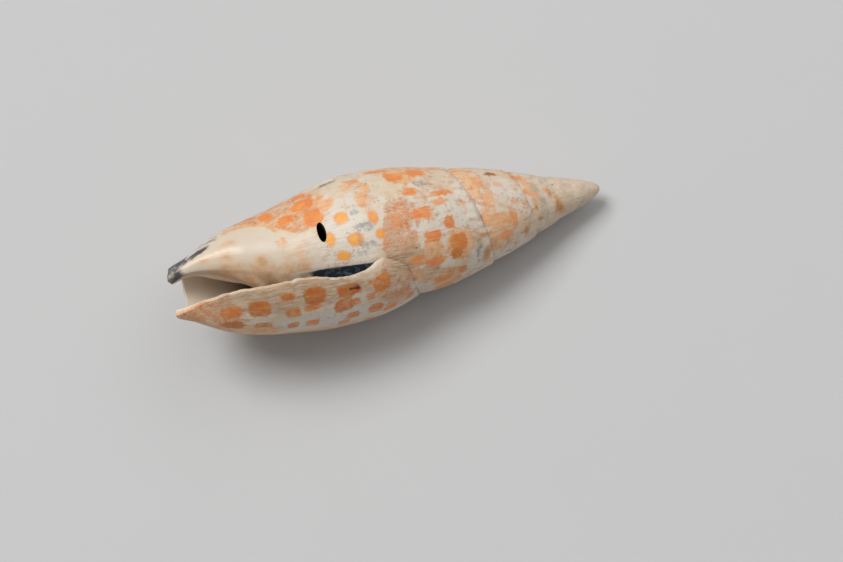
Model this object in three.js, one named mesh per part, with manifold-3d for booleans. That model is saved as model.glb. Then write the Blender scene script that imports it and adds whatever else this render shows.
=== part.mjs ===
// A mitre shell, lying on its back with its opening up: one closed body, hollow from the opening inwards.
// Millimetres, +Z up. The spire points to +X and the shell rests on the plane z = 0.
import * as THREE from "three";
import { mergeVertices } from "three/addons/utils/BufferGeometryUtils.js";
import Module from "manifold-3d";

// Driving dimensions, in millimetres and degrees.
// x is measured along the shell's axis from the tip of the spire, r is the distance from that axis,
// and the turn angle grows with the shell: 0 at the outer lip, -360 one turn back, and so on.
const LENGTH = 110;
const SUTURE_AT_LIP = 57.5;
const WHORL_RATIO = 1.65;
const SUTURE_DIP = 4.5;
const SUTURE_DIP_ANGLE = 16;
const WHORL_SWELL = 0.11;
const WORN_TO = 35;
const WORN_SWELL = 0.2;

// Radius at the suture, from the tip to the point where the outer lip joins the whorl before it.
const SPIRE_OUTLINE = [
  [0, 0],
  [1.2, 1.6],
  [2.9, 2.4],
  [4.7, 3.1],
  [7.8, 4.1],
  [12.8, 5.4],
  [21.1, 8.4],
  [34.8, 12.5],
  [62, 16.7],
];
// The worn tip is a dome, given by one ring: its share of the first turn's place and of its radius.
const TIP_RING_PLACE = 0.35;
const TIP_RING_RADIUS = 0.6;

// Radius of the last whorl at the outer lip: share of the way from the suture to the front end, radius.
const LIP_OUTLINE = [
  [0, 16.7],
  [0.1, 18.3],
  [0.25, 19.2],
  [0.45, 19.3],
  [0.65, 18.6],
  [0.82, 15.2],
  [0.93, 10.9],
  [1, 7.6],
];
// The same one turn back, from the point under the lip's joint down the columella to the beak.
const COLUMELLA_OUTLINE = [
  [0.365, 16.7],
  [0.52, 13.6],
  [0.66, 10.6],
  [0.8, 7.5],
  [0.92, 3.8],
  [1, 2],
];
// The pillar inside the cavity, and how far the front of it bends towards the side of turn angle 90:
// place along the axis, radius; place along the axis, bend.
const PILLAR_OUTLINE = [
  [50, 3.5],
  [88, 5.4],
  [95, 5],
  [100, 3.9],
  [105, 2.1],
  [110, 1.5],
];
const BEAK_BEND = [
  [85, 0],
  [91, 1.3],
  [95, 2.4],
  [100, 3.4],
  [105, 3.7],
  [110, 2.3],
];

// The share of the last whorl from which its front fills out sooner than its back, as it grows, and
// how strongly that starts and builds up.
const FRONT_FULLER_FROM = 0.7;
const FULLER_AT_LIP = 2;
const FULLER_BEFORE = 0.3;
// The share of the last whorl over which it meets the suture.
const SUTURE_BLEND = 0.2;

// The wall, at its plain thickness, at the suture and at the lip, how far from the lip it reaches its
// plain thickness, and the least share of the cavity that it leaves open.
const WALL = 2;
const WALL_AT_SUTURE = 3;
const LIP_WALL = 1.5;
const LIP_FADE_ANGLE = 25;
const WALL_GROWN = 0.15;
const LEAST_ROOM = 0.3;

// The lip's edge near its front tip: where it starts to run back round the shell, how far it goes, how
// suddenly, and over what turn of the shell behind it that dies away.
const LIP_TIP_FROM = 0.72;
const LIP_TIP_SWEEP = 25;
const LIP_TIP_POWER = 2.2;
const LIP_TIP_ANGLE = 100;

// The siphon notch: how far it cuts back, the turn angles of its two ends and of each end's slope.
const NOTCH_DEPTH = 3.4;
const NOTCH_BACK = -215;
const NOTCH_FRONT = -88;
const NOTCH_SLOPE = 40;

// The cavity: how many turns it goes in, and where it ends at the front, as at a lip 130 % as long.
const CAVITY_TURNS = 1.3;
const CAVITY_FRONT = 1.3 * LENGTH;
// How the cavity closes: at the back over this share of its length, at the front from this share on.
// The canal stays open in the last half turn, and closes over this angle.
const BACK_CLOSING = 0.14;
const FRONT_CLOSING_FROM = 0.72;
const CANAL_CLOSING_ANGLE = 60;
// How far behind the lip the cavity's back end has left the suture.
const BACK_FADE_ANGLE = 20;

// Folds on the columella: their places at the lip, the height of the first, half their width, and how
// much lower each next one is.
const FOLDS = [75, 81.5, 88, 94.5];
const FOLD_HEIGHT = 0.9;
const FOLD_HALF_WIDTH = 2.2;
const FOLD_LOWER = 0.15;

// The bore hole: its place on the last whorl and its size.
const BORE_AT = 75;
const BORE_TURN = -324;
const BORE_LENGTH = 5;
const BORE_WIDTH = 2;
const BORE_DEPTH = 8;
const BORE_SIDES = 20;

// How the shell lies: the spire's end lowered, and turned so that the opening faces up.
const SPIRE_LOWERED = 10.7;
const LIE_TURN = -61.4;
const REST_FLAT = 0.25;

// Faces: columns in one turn, rows across a whorl, rows down the last whorl, rows inside.
const COLUMNS = 48;
const SPIRE_TURNS = 6;
const WHORL_ROWS = 5;
const FRONT_ROWS = 16;
const WALL_ROWS = 14;

const TURN = 2 * Math.PI;
const degrees = THREE.MathUtils.degToRad;
const clamp = THREE.MathUtils.clamp;
const mix = THREE.MathUtils.lerp;
const growthScale = (turn) => WHORL_RATIO ** (turn / TURN);

// A smooth curve through hand-placed points that never overshoots them.
function outline(points) {
  const n = points.length;
  const slope = [];
  for (let i = 0; i + 1 < n; i++) {
    slope.push((points[i + 1][1] - points[i][1]) / (points[i + 1][0] - points[i][0]));
  }
  const tangent = points.map((point, i) => {
    if (i === 0) return slope[0];
    if (i === n - 1) return slope[n - 2];
    if (slope[i - 1] * slope[i] <= 0) return 0;
    return (2 * slope[i - 1] * slope[i]) / (slope[i - 1] + slope[i]);
  });
  return (x) => {
    let i = 0;
    while (i < n - 2 && x > points[i + 1][0]) i++;
    const [x0, y0] = points[i];
    const [x1, y1] = points[i + 1];
    const h = x1 - x0;
    const t = clamp((x - x0) / h, -0.2, 1.2);
    const a = 2 * t ** 3 - 3 * t ** 2 + 1;
    const b = t ** 3 - 2 * t ** 2 + t;
    const c = t ** 3 - t ** 2;
    return a * y0 + b * h * tangent[i] + (1 - a) * y1 + c * h * tangent[i + 1];
  };
}

const spireRadius = outline(SPIRE_OUTLINE);
const lipRadius = outline(LIP_OUTLINE);

// How far from the tip the suture runs at a turn angle. It dips forwards just before the lip.
function suture(turn) {
  const grown = SUTURE_AT_LIP * growthScale(turn);
  const near = clamp(1 + turn / degrees(SUTURE_DIP_ANGLE), 0, 1);
  return grown + SUTURE_DIP * near ** 2;
}

// Radius between one suture and the next, at a share of the way across. Towards the tip the whorls
// are worn down to a plain cone.
function whorlRadius(turn, share) {
  const back = spireRadius(suture(turn));
  const front = spireRadius(suture(turn + TURN));
  const swell = WHORL_SWELL * clamp(suture(turn) / WORN_TO, WORN_SWELL, 1);
  return mix(back, front, share) + swell * back * 4 * share * (1 - share);
}

// Radius one turn back from the lip: the whorl down to the lip's joint, then the columella.
const jointShare = (suture(0) - suture(-TURN)) / (LENGTH - suture(-TURN));
const oldRadius = outline([
  [0, whorlRadius(-TURN, 0)],
  [0.25 * jointShare, whorlRadius(-TURN, 0.25)],
  [0.5 * jointShare, whorlRadius(-TURN, 0.5)],
  [0.75 * jointShare, whorlRadius(-TURN, 0.75)],
  ...COLUMELLA_OUTLINE,
]);

// 0 one turn back from the lip, 1 at the lip, growing as the shell does.
function grownShare(turn) {
  const oldest = 1 / WHORL_RATIO;
  return (growthScale(turn) - oldest) / (1 - oldest);
}

// Radius of the last whorl at a share of the way from its suture to the front end.
function bodyRadius(turn, share) {
  const grown = grownShare(turn);
  const front = clamp((share - FRONT_FULLER_FROM) / (1 - FRONT_FULLER_FROM), 0, 1);
  const fuller = grown + front * grown * (1 - grown) * (FULLER_AT_LIP * grown - FULLER_BEFORE);
  const radius = mix(oldRadius(share), lipRadius(share), fuller);
  const edge = mix(oldRadius(0), lipRadius(0), grown);
  const fade = clamp(1 - share / SUTURE_BLEND, 0, 1) ** 2;
  return radius + (spireRadius(suture(turn)) - edge) * fade;
}

// The front edge, cut back at the siphon notch.
function frontEdge(turn) {
  const back = THREE.MathUtils.smoothstep(turn, degrees(NOTCH_BACK), degrees(NOTCH_BACK + NOTCH_SLOPE));
  const front = THREE.MathUtils.smoothstep(-turn, degrees(-NOTCH_FRONT), degrees(NOTCH_SLOPE - NOTCH_FRONT));
  return LENGTH - NOTCH_DEPTH * back * front;
}

// The lip's edge runs back round the shell near its front tip.
function lipSweep(turn, share) {
  const near = clamp(1 + turn / degrees(LIP_TIP_ANGLE), 0, 1);
  const tip = clamp((share - LIP_TIP_FROM) / (1 - LIP_TIP_FROM), 0, 1);
  return -degrees(LIP_TIP_SWEEP) * tip ** LIP_TIP_POWER * near;
}

const beakBend = outline(BEAK_BEND);
const pillarRadius = outline(PILLAR_OUTLINE);

// A place on the shell. Near the front end the columella side of the last whorl bends away.
function point(turn, x, r) {
  const columellaSide = 1 - THREE.MathUtils.smoothstep(turn, -TURN, -TURN / 2);
  const bend = x > BEAK_BEND[0][0] ? beakBend(x) * columellaSide : 0;
  return new THREE.Vector3(x, r * Math.cos(turn), r * Math.sin(turn) + bend);
}

const vertices = [];
const faces = [];

function vertex(place) {
  vertices.push(place);
  return vertices.length - 1;
}

function face(a, b, c) {
  if (a !== b && b !== c && a !== c) faces.push([a, b, c]);
}

// Fills the space between two rows of vertices that have the same number of steps.
function strip(first, second) {
  for (let i = 0; i + 1 < first.length; i++) {
    face(first[i], first[i + 1], second[i + 1]);
    face(first[i], second[i + 1], second[i]);
  }
}

const columnTurn = (column) => (column * TURN) / COLUMNS;

// The outside, turn by turn from the lip backwards: outer.get(column) is a row of vertices from the
// suture to the next suture, or to the front end in the last whorl.
const outer = new Map();
const bodyRows = WHORL_ROWS + FRONT_ROWS;

// Places of the rows down the columella: one on each fold, one between folds, and more at the ends.
function columellaRow(row) {
  const joint = suture(0);
  const before = 4;
  const onFolds = 2 * FOLDS.length - 2;
  if (row < before) return mix(joint, FOLDS[0], row / before);
  if (row <= before + onFolds) return mix(FOLDS[0], FOLDS.at(-1), (row - before) / onFolds);
  return mix(FOLDS.at(-1), LENGTH, (row - before - onFolds) / (FRONT_ROWS - before - onFolds));
}

// Rows of the last whorl: spaced evenly at the lip, and as on the columella one turn back.
function rowShare(turn, row) {
  const start = suture(-TURN);
  let old = (jointShare * row) / WHORL_ROWS;
  if (row > WHORL_ROWS) old = (columellaRow(row - WHORL_ROWS) - start) / (LENGTH - start);
  return mix(old, row / bodyRows, clamp(grownShare(turn), 0, 1));
}

for (let column = 0; column >= -COLUMNS; column--) {
  const turn = columnTurn(column);
  const rows = [];
  for (let row = 0; row <= bodyRows; row++) {
    if (column === -COLUMNS && row === WHORL_ROWS) {
      rows.push(outer.get(0)[0]);
      continue;
    }
    const share = rowShare(turn, row);
    const x = mix(suture(turn), frontEdge(turn), share);
    const swept = turn + lipSweep(turn, share);
    rows.push(vertex(point(swept, x, bodyRadius(turn, share))));
  }
  outer.set(column, rows);
}
for (let column = -COLUMNS - 1; column >= -SPIRE_TURNS * COLUMNS; column--) {
  const turn = columnTurn(column);
  const rows = [];
  for (let row = 0; row < WHORL_ROWS; row++) {
    const share = row / WHORL_ROWS;
    const x = mix(suture(turn), suture(turn + TURN), share);
    rows.push(vertex(point(turn, x, whorlRadius(turn, share))));
  }
  rows.push(outer.get(column + COLUMNS)[0]);
  outer.set(column, rows);
}
for (let column = 0; column > -SPIRE_TURNS * COLUMNS; column--) {
  const last = column > -COLUMNS ? bodyRows : WHORL_ROWS;
  strip(outer.get(column).slice(0, last + 1), outer.get(column - 1).slice(0, last + 1));
}

// The worn tip: a dome over the first turn.
const firstTurn = -SPIRE_TURNS * COLUMNS;
const tipLoop = [];
for (let column = firstTurn; column < firstTurn + COLUMNS; column++) tipLoop.push(outer.get(column)[0]);
for (let row = WHORL_ROWS; row > 0; row--) tipLoop.push(outer.get(firstTurn)[row]);
const tipRing = tipLoop.map((index) => {
  const edge = vertices[index];
  const ring = new THREE.Vector3(TIP_RING_PLACE, TIP_RING_RADIUS, TIP_RING_RADIUS);
  return vertex(ring.multiply(edge));
});
const tip = vertex(new THREE.Vector3(0, 0, 0));
tipLoop.forEach((index, i) => {
  const next = (i + 1) % tipLoop.length;
  face(index, tipRing[next], tipLoop[next]);
  face(index, tipRing[i], tipRing[next]);
  face(tipRing[i], tip, tipRing[next]);
});

// Height of the folds on the columella, at a place given as at the lip.
function foldHeight(place) {
  let height = 0;
  FOLDS.forEach((fold, i) => {
    const away = Math.abs(place - fold) / FOLD_HALF_WIDTH;
    if (away < 1) height += FOLD_HEIGHT * (1 - FOLD_LOWER * i) * Math.cos((away * Math.PI) / 2) ** 2;
  });
  return height;
}

// Inner side of the cavity: the whorl before, then the columella, smaller by the growth at each turn.
function innerRadius(turn, x) {
  const scale = growthScale(turn);
  const place = x / scale;
  const start = suture(-TURN);
  const grown = scale * oldRadius(clamp((place - start) / (LENGTH - start), 0, 1));
  const inside = clamp(-turn / degrees(LIP_FADE_ANGLE), 0, 1);
  const pillar = mix(grown, pillarRadius(x), inside);
  return Math.max(grown, pillar) + scale * foldHeight(place) * inside;
}

// Where the cavity starts and ends along the axis.
function cavityBack(turn) {
  const inside = clamp(-turn / degrees(BACK_FADE_ANGLE), 0, 1);
  return mix(suture(0), (SUTURE_AT_LIP + WALL_AT_SUTURE) * growthScale(turn), inside);
}

function cavityFront(turn) {
  return Math.min(frontEdge(turn), CAVITY_FRONT * growthScale(turn));
}

// Outer radius at any place along the axis, for turns inside the spire too.
function outerRadius(turn, x) {
  if (turn >= -TURN) {
    const share = clamp((x - suture(turn)) / (frontEdge(turn) - suture(turn)), 0, 1);
    return bodyRadius(turn, share);
  }
  const next = suture(turn + TURN);
  if (x < next) return whorlRadius(turn, clamp((x - suture(turn)) / (next - suture(turn)), 0, 1));
  return innerRadius(turn + TURN, x);
}

const cavityColumns = Math.round(CAVITY_TURNS * COLUMNS);
const inner = new Map();
const wall = new Map();
const halfTurn = COLUMNS / 2;

// The columella inside. Its rows follow the folds, and the last ones reach to the cavity's front end.
for (let column = 0; column >= -cavityColumns; column--) {
  const turn = columnTurn(column);
  const rows = [];
  for (let row = 0; row <= FRONT_ROWS; row++) {
    if (column === 0) {
      rows.push(outer.get(-COLUMNS)[WHORL_ROWS + row]);
      continue;
    }
    const place = columellaRow(row);
    const past = clamp((place - FOLDS.at(-1)) / (LENGTH - FOLDS.at(-1)), 0, 1);
    const last = FOLDS.at(-1) * growthScale(turn);
    let x = place * growthScale(turn);
    if (row === 0) x = cavityBack(turn);
    if (past > 0) x = mix(last, cavityFront(turn), past);
    rows.push(vertex(point(turn - TURN, x, innerRadius(turn, x))));
  }
  inner.set(column, rows);
}

// The inner face of the outer wall. It closes against the columella at the back, and at the front
// wherever the canal isn't open.
for (let column = 0; column >= -cavityColumns; column--) {
  const turn = columnTurn(column);
  const back = cavityBack(turn);
  const front = cavityFront(turn);
  const open = clamp((turn + Math.PI) / degrees(CANAL_CLOSING_ANGLE), 0, 1);
  const rows = [];
  for (let row = 0; row <= WALL_ROWS; row++) {
    if (row === 0) {
      rows.push(inner.get(column)[0]);
      continue;
    }
    if (row === WALL_ROWS && column <= -halfTurn) {
      rows.push(inner.get(column)[FRONT_ROWS]);
      continue;
    }
    const share = row / WALL_ROWS;
    const x = mix(back, front, share);
    const low = innerRadius(turn, x);
    const high = outerRadius(turn, x);
    const thinner = Math.min(1, growthScale(turn) + WALL_GROWN);
    const thick = mix(LIP_WALL, WALL * thinner, clamp(-turn / degrees(LIP_FADE_ANGLE), 0, 1));
    const room = Math.max(high - low - thick, LEAST_ROOM * (high - low));
    const backClose = Math.sqrt(1 - clamp(1 - share / BACK_CLOSING, 0, 1) ** 2);
    const frontWay = clamp((share - FRONT_CLOSING_FROM) / (1 - FRONT_CLOSING_FROM), 0, 1);
    const frontClose = mix(Math.sqrt(Math.max(1 - frontWay ** 2, 0)), 1, Math.sqrt(open));
    const swept = turn + lipSweep(turn, share);
    const near = point(turn - TURN, x, low);
    near.applyAxisAngle(new THREE.Vector3(1, 0, 0), swept - turn);
    rows.push(vertex(near.lerp(point(swept, x, low + room), backClose * frontClose)));
  }
  wall.set(column, rows);
}

for (let column = 0; column > -cavityColumns; column--) {
  strip(inner.get(column), inner.get(column - 1));
  strip(wall.get(column - 1), wall.get(column));
}

// Closes the space between two rows that share their ends or start side by side, whatever their steps.
function zip(first, second) {
  let i = 0;
  let j = 0;
  while (i < first.length - 1 || j < second.length - 1) {
    const stepFirst = (i + 1) / (first.length - 1);
    const stepSecond = (j + 1) / (second.length - 1);
    if (j === second.length - 1 || (i < first.length - 1 && stepFirst <= stepSecond)) {
      face(first[i], first[i + 1], second[j]);
      i++;
    } else {
      face(first[i], second[j + 1], second[j]);
      j++;
    }
  }
}

// The lip's edge, the front rim round the canal, the beak's end and the end of the cavity.
zip(wall.get(0), outer.get(0));
const rimOuter = [];
const rimWall = [];
const beakOuter = [];
const beakInner = [];
for (let step = 0; step <= halfTurn; step++) {
  rimOuter.push(outer.get(-step)[bodyRows]);
  rimWall.push(wall.get(-step)[WALL_ROWS]);
  beakOuter.push(outer.get(step - COLUMNS)[bodyRows]);
  beakInner.push(inner.get(-step)[FRONT_ROWS]);
}
strip(rimWall, rimOuter);
strip(beakOuter, beakInner);
zip(inner.get(-cavityColumns), wall.get(-cavityColumns));

// Turns the shell from its own axis into the way it lies, with the spire to +X.
const lying = new THREE.Matrix4()
  .makeRotationY(degrees(SPIRE_LOWERED))
  .multiply(new THREE.Matrix4().makeRotationX(degrees(LIE_TURN)))
  .multiply(new THREE.Matrix4().makeRotationZ(Math.PI));

const wasm = await Module();
wasm.setup();

function solidOf(geometry) {
  const plain = geometry.clone();
  plain.deleteAttribute("normal");
  plain.deleteAttribute("uv");
  const merged = mergeVertices(plain, 1e-4);
  return new wasm.Manifold(
    new wasm.Mesh({
      numProp: 3,
      vertProperties: new Float32Array(merged.attributes.position.array),
      triVerts: new Uint32Array(merged.index.array),
    }),
  );
}

function shellSolid() {
  const geometry = new THREE.BufferGeometry().setFromPoints(vertices);
  geometry.setIndex(faces.flat());
  return solidOf(geometry.applyMatrix4(lying));
}

// The bore hole's tool: a rod with an oval section, pointing at the axis, its long way round the shell.
function boreSolid() {
  const share = (BORE_AT - suture(degrees(BORE_TURN))) / (LENGTH - suture(degrees(BORE_TURN)));
  const surface = bodyRadius(degrees(BORE_TURN), share);
  const rod = new THREE.CylinderGeometry(0.5, 0.5, BORE_DEPTH, BORE_SIDES);
  rod.scale(BORE_WIDTH, 1, BORE_LENGTH);
  rod.translate(BORE_AT, surface, 0);
  rod.rotateX(degrees(BORE_TURN));
  return solidOf(rod.applyMatrix4(lying));
}

// A slab, wider than the shell, that cuts the rubbed patches it rests on in one level plane.
function restSolid(lowest) {
  const slab = new THREE.BoxGeometry(2 * LENGTH, LENGTH, LENGTH);
  slab.translate(-LENGTH / 2, 0, lowest + REST_FLAT - LENGTH / 2);
  return solidOf(slab);
}

const grown = shellSolid();
const bored = grown.subtract(boreSolid());
const shell = bored.subtract(restSolid(grown.boundingBox().min[2]));

const cut = shell.getMesh();
const geometry = new THREE.BufferGeometry();
geometry.setAttribute("position", new THREE.BufferAttribute(new Float32Array(cut.vertProperties), 3));
geometry.setIndex(new THREE.BufferAttribute(new Uint32Array(cut.triVerts), 1));
geometry.computeBoundingBox();
const low = geometry.boundingBox.min;
const high = geometry.boundingBox.max;
geometry.translate(-(low.x + high.x) / 2, -(low.y + high.y) / 2, -low.z);
geometry.computeVertexNormals();

const shellMaterial = new THREE.MeshStandardMaterial({ color: 0xdcc4a8, roughness: 0.45, metalness: 0 });
const shellMesh = new THREE.Mesh(geometry, shellMaterial);
shellMesh.name = "mitre_shell";

const part = new THREE.Group();
part.add(shellMesh);
export default part;
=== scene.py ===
"""A worn mitre shell on a pale floor. The file is laid out as an add-on and is run as a script."""

import math
from functools import reduce

import bmesh
import bpy
import numpy as np
from bpy.props import FloatProperty, FloatVectorProperty, PointerProperty
from mathutils import Matrix, Vector


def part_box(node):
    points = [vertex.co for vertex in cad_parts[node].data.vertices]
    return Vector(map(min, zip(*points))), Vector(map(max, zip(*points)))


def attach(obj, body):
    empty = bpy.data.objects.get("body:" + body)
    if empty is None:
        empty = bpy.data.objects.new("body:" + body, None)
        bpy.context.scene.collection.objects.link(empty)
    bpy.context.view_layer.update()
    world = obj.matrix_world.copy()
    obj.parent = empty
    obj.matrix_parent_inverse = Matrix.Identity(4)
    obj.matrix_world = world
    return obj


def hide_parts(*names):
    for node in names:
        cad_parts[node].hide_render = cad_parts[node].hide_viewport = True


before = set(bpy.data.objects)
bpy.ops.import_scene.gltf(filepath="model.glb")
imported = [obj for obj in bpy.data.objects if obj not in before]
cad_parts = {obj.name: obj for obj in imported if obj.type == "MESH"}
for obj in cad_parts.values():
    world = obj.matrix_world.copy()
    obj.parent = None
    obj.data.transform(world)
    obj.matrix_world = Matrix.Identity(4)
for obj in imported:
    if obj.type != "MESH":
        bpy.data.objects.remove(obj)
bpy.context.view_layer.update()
SHELL_BOX = [[float(v) for v in corner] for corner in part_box("mitre_shell")]

bl_info = {
    "name": "Mitre shell",
    "version": (1, 0, 0),
    "blender": (4, 5, 0),
    "location": "3D View > Sidebar > Shell",
    "description": "Builds a worn mitre shell, lying on its back, and the floor and light around it",
    "category": "Add Mesh",
}

MM = 0.001
TURN = 2 * math.pi
LENGTH_MM = 110.0

# These three outlines began as a least-squares fit to points read off the photograph. They were rounded, and
# partly moved. Radius at the suture, in millimetres, against the distance from the tip of the spire.
SPIRE_OUTLINE = (
    (0, 0), (1.2, 1.6), (2.9, 2.4), (4.7, 3.1), (7.8, 4.1), (12.8, 5.4), (21.1, 8.4), (34.8, 12.5), (62, 16.7),
)
# Radius of the last whorl at the lip, against the share of the way from the suture to the front end.
LIP_OUTLINE = (
    (0, 16.7), (0.1, 18.3), (0.25, 19.2), (0.45, 19.3), (0.65, 18.6), (0.82, 15.2), (0.93, 10.9), (1, 7.6),
)
# The same one turn back, down the columella to the beak.
COLUMELLA_OUTLINE = ((0.365, 16.7), (0.52, 13.6), (0.66, 10.6), (0.8, 7.5), (0.92, 3.8), (1, 2))
# The pillar inside the cavity, and how far the front of the columella side bends away.
PILLAR_OUTLINE = ((50, 3.5), (88, 5.4), (95, 5), (100, 3.9), (105, 2.1), (110, 1.5))
BEAK_BEND = ((85, 0), (91, 1.3), (95, 2.4), (100, 3.4), (105, 3.7), (110, 2.3))
FOLD_PLACES = (75, 81.5, 88, 94.5)
FOLD_HALF_WIDTH = 2.2
FOLD_DROP = 0.15

# How the suture dips before the lip, in degrees, and how the whorls are worn plainer towards the tip.
SUTURE_DIP_ANGLE = 16
WORN_TO = 35
WORN_SWELL = 0.2
# Where the front of the last whorl fills out sooner than its back, as it grows, and how strongly it starts.
FULLER_FROM, FULLER_OVER, FULLER_START = 0.7, 0.3, 0.3
# The share of the last whorl over which it meets the suture.
SUTURE_MEETS = 0.2
# The siphon notch: the slope of its far end and of its lip end, in degrees.
NOTCH_FAR_END = (-215, -175)
NOTCH_LIP_END = (40, 128)
# How the lip's front tip runs back: degrees, the share it starts at, over what share, and how suddenly.
TIP_SWEEPS = ((25, 0.72, 0.28, 2.2), (15, 0.9, 0.1, 2))
SWEEP_REACH = 100
CHIP_REACH = 30
# Angles, back from the lip, over which the pillar, the cavity's back and the wall reach their plain form.
PILLAR_REACH = 34
BACK_REACH = 20
WALL_REACH = 25
CANAL_REACH = 60
# The cavity: its front as at a lip this much longer, its back from the suture, and how both ends close.
CAVITY_FRONT = 1.3
CAVITY_FROM_SUTURE = 3
CAVITY_LEAST_ROOM = 0.3
BACK_CLOSES_OVER = 0.14
FRONT_CLOSES_FROM, FRONT_CLOSES_OVER = 0.72, 0.28

# How far the lip's edge is chipped back where it stands off the body, in degrees, against the place.
LIP_CHIP = ((62.5, 0), (64.5, 1.4), (66.5, 5.2), (69, 6.9), (72, 6.6), (75, 5.4), (78, 3), (81, 0.8), (83, 0))
# Ends drawn out past the even outline: centre, reach and shift, in millimetres.
DRAWN_ENDS = (
    ((110, 2, 2.3), 6, (1.2, 0, 0.2)),
    ((110, -1, 3.8), 5, (0.5, 0, 0.2)),
    ((110, 5.9, -4.8), 5, (2.2, 0.4, -0.3)),
)

# How the shell lies: turned about its own axis, then the spire's end lowered.
LIE_TURN = math.radians(-61.4)
SPIRE_LOWERED = math.radians(10.7)

# Steps of the cage that the outside is wound from, and how often it is subdivided.
CAGE_STEPS = 26
CAGE_TURNS = 6
WHORL_ROWS = 5
FRONT_ROWS = 11
CAGE_LEVELS = 3
CAVITY_STEPS = 96
CAVITY_TURNS = 1.3
CAVITY_ROWS = 88
WALL_ROWS = 44

# Marks: turn in degrees back from the lip, millimetres from the tip of the spire, half the size round the
# shell in degrees, half the size along it in millimetres, and a shade from 0, faint, through 0.5, orange, to
# 1, dark red-brown. At least two in five of the rows in the tables of marks and spots below were read off the
# photograph, turned into turn and place by another program, and rounded.
TOP_MARKS = (
    (-275, 86, 11, 1.8, 0.55), (-295, 82, 7, 1.9, 0.55), (-285, 77, 8, 3, 0.45), (-306, 75.8, 9, 2.3, 0.5),
    (-265, 76.5, 9, 1.6, 0.4), (-297, 71.5, 5, 1.8, 0.15), (-283, 63.7, 4, 1.4, 0.35), (-273, 57, 4, 2.8, 0.45),
    (-288, 54, 7, 2.4, 0.5), (-284, 48, 7, 2.6, 0.42), (-309, 51.7, 4.5, 2, 0.4), (-314.5, 44, 3, 3.4, 0.55),
    (-323, 45.5, 3, 1.8, 0.3), (-330.5, 50.8, 5, 2.6, 0.45), (-343.5, 44.3, 6.2, 1.3, 0.6),
    (-352, 49.2, 5, 2.4, 0.5),
)
LOWER_MARKS = (
    (-4, 42.6, 9, 2.2, 0.6), (-14, 43.6, 5, 1.6, 0.7), (-16, 49, 4, 2.5, 0.5), (-36, 42, 5, 1.1, 0.6),
    (-40, 47.2, 5, 2.4, 0.5), (-58, 46.5, 7, 2.6, 0.5), (-9, 54, 4, 1.8, 0.35),
)
LIP_MARKS = (
    (-19, 100.4, 7, 2.5, 0.6), (-25, 107, 5, 1.4, 0.3), (-18, 94, 8, 2.6, 0.72), (-10.6, 87.2, 3.3, 1.7, 0.7),
    (-14, 80.7, 8, 2.7, 0.75), (-26, 86.2, 4.8, 1.9, 0.62), (-24, 81.5, 3.4, 2, 0.6),
    (-42, 81.4, 5.2, 1.6, 0.55), (-42, 86.2, 4.6, 1.4, 0.6), (-37.5, 100, 7, 2.5, 0.75),
    (-37, 93.4, 3.6, 2, 0.65), (-13.8, 72.3, 7, 3.1, 0.72), (-28.8, 73.7, 7.2, 2.7, 0.62),
    (-28, 70.9, 3.6, 1.2, 0.6), (-43.7, 71.2, 4.7, 1.7, 0.6), (-52, 73.4, 4.6, 1.6, 0.6),
    (-17.5, 64, 8, 2.3, 0.6), (-26.6, 67, 3.4, 1, 0.58), (-42.6, 65.5, 6, 2, 0.6), (-51.3, 61.2, 4.4, 2.3, 0.5),
    (-11.7, 66.8, 2.3, 0.7, 0.6), (-62, 66.6, 5, 1.4, 0.55),
)
SPIRE_MARKS = (
    (-326, 32.3, 6.5, 1.6, 0.2), (-308, 28.8, 5, 1.1, 0.18), (-355, 31.2, 8, 3, 0.12),
    (-358, 26.6, 12, 0.9, 0.3), (-15, 30, 6.6, 1.4, 0.3), (-287, 29.1, 4.4, 1.8, 0.85),
    (-292, 22.6, 6, 1.4, 0.45), (-322, 21.6, 6, 0.9, 0.5), (-327, 19.4, 6, 1.2, 0.35),
    (-323, 16.3, 7, 1.1, 0.35), (-300, 33.5, 6, 1.6, 0.25),
)
DARK_RED_MARKS = ((-13.2, 70.4, 2.2, 0.8), (-12.5, 71.6, 1.2, 0.5))
# Round yellow spots: turn, place, half sizes.
YELLOW_SPOTS = (
    (-317.6, 69.9, 6, 1.7), (-325.3, 62.5, 5.7, 1.25), (-333.5, 73.6, 7.4, 1.3), (-339.7, 67.8, 6, 1.9),
    (-340.2, 61.9, 4, 1.2), (-351.9, 71.4, 5, 1.6),
)
# Grey smudges where the surface is worn through: turn, place, half sizes.
GREY_SMUDGES = (
    (-316.5, 66.4, 3.4, 1.2), (-331.4, 64.6, 3.6, 1.7), (-347, 65, 3.4, 1.9), (-353, 67.2, 3, 1.5),
    (-329, 66.8, 2, 1.2), (-265, 69.3, 4, 2.7), (-262, 88.4, 3.4, 0.9), (-300, 48, 4, 2), (-340, 67, 8, 0.5),
    (-20, 37.4, 10, 0.8), (-352, 17.6, 20, 1), (-12, 17.6, 14, 1), (-322, 18.6, 6, 0.7),
    (-340.5, 79.1, 1.6, 0.6), (-300, 49, 6, 0.7),
)
# Tan-brown blotches on the columella and the callus beside it.
TAN_BLOTCHES = (
    (-328, 102.5, 7, 2.2), (-332, 98, 8, 1.6), (-356, 92.3, 11, 2.7), (-359, 88, 12, 2.6), (-345, 90, 10, 1.6),
    (-326, 84.2, 8, 1.2), (-345, 82, 14, 1.5), (-356, 80.5, 12, 2.2), (-330, 79.5, 9, 1), (-306, 96.5, 6, 1.6),
)
# Brown stains on the spire.
BROWN_STAINS = (
    (-357, 13.4, 20, 0.8), (-12, 12.6, 18, 0.8), (-330, 15.2, 14, 0.5), (-318, 24.4, 3, 0.4),
    (-25, 23.4, 9, 0.8), (-30, 35.4, 12, 1.1), (-14, 19, 5, 0.6), (-352, 19.8, 8, 0.5),
)
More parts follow.
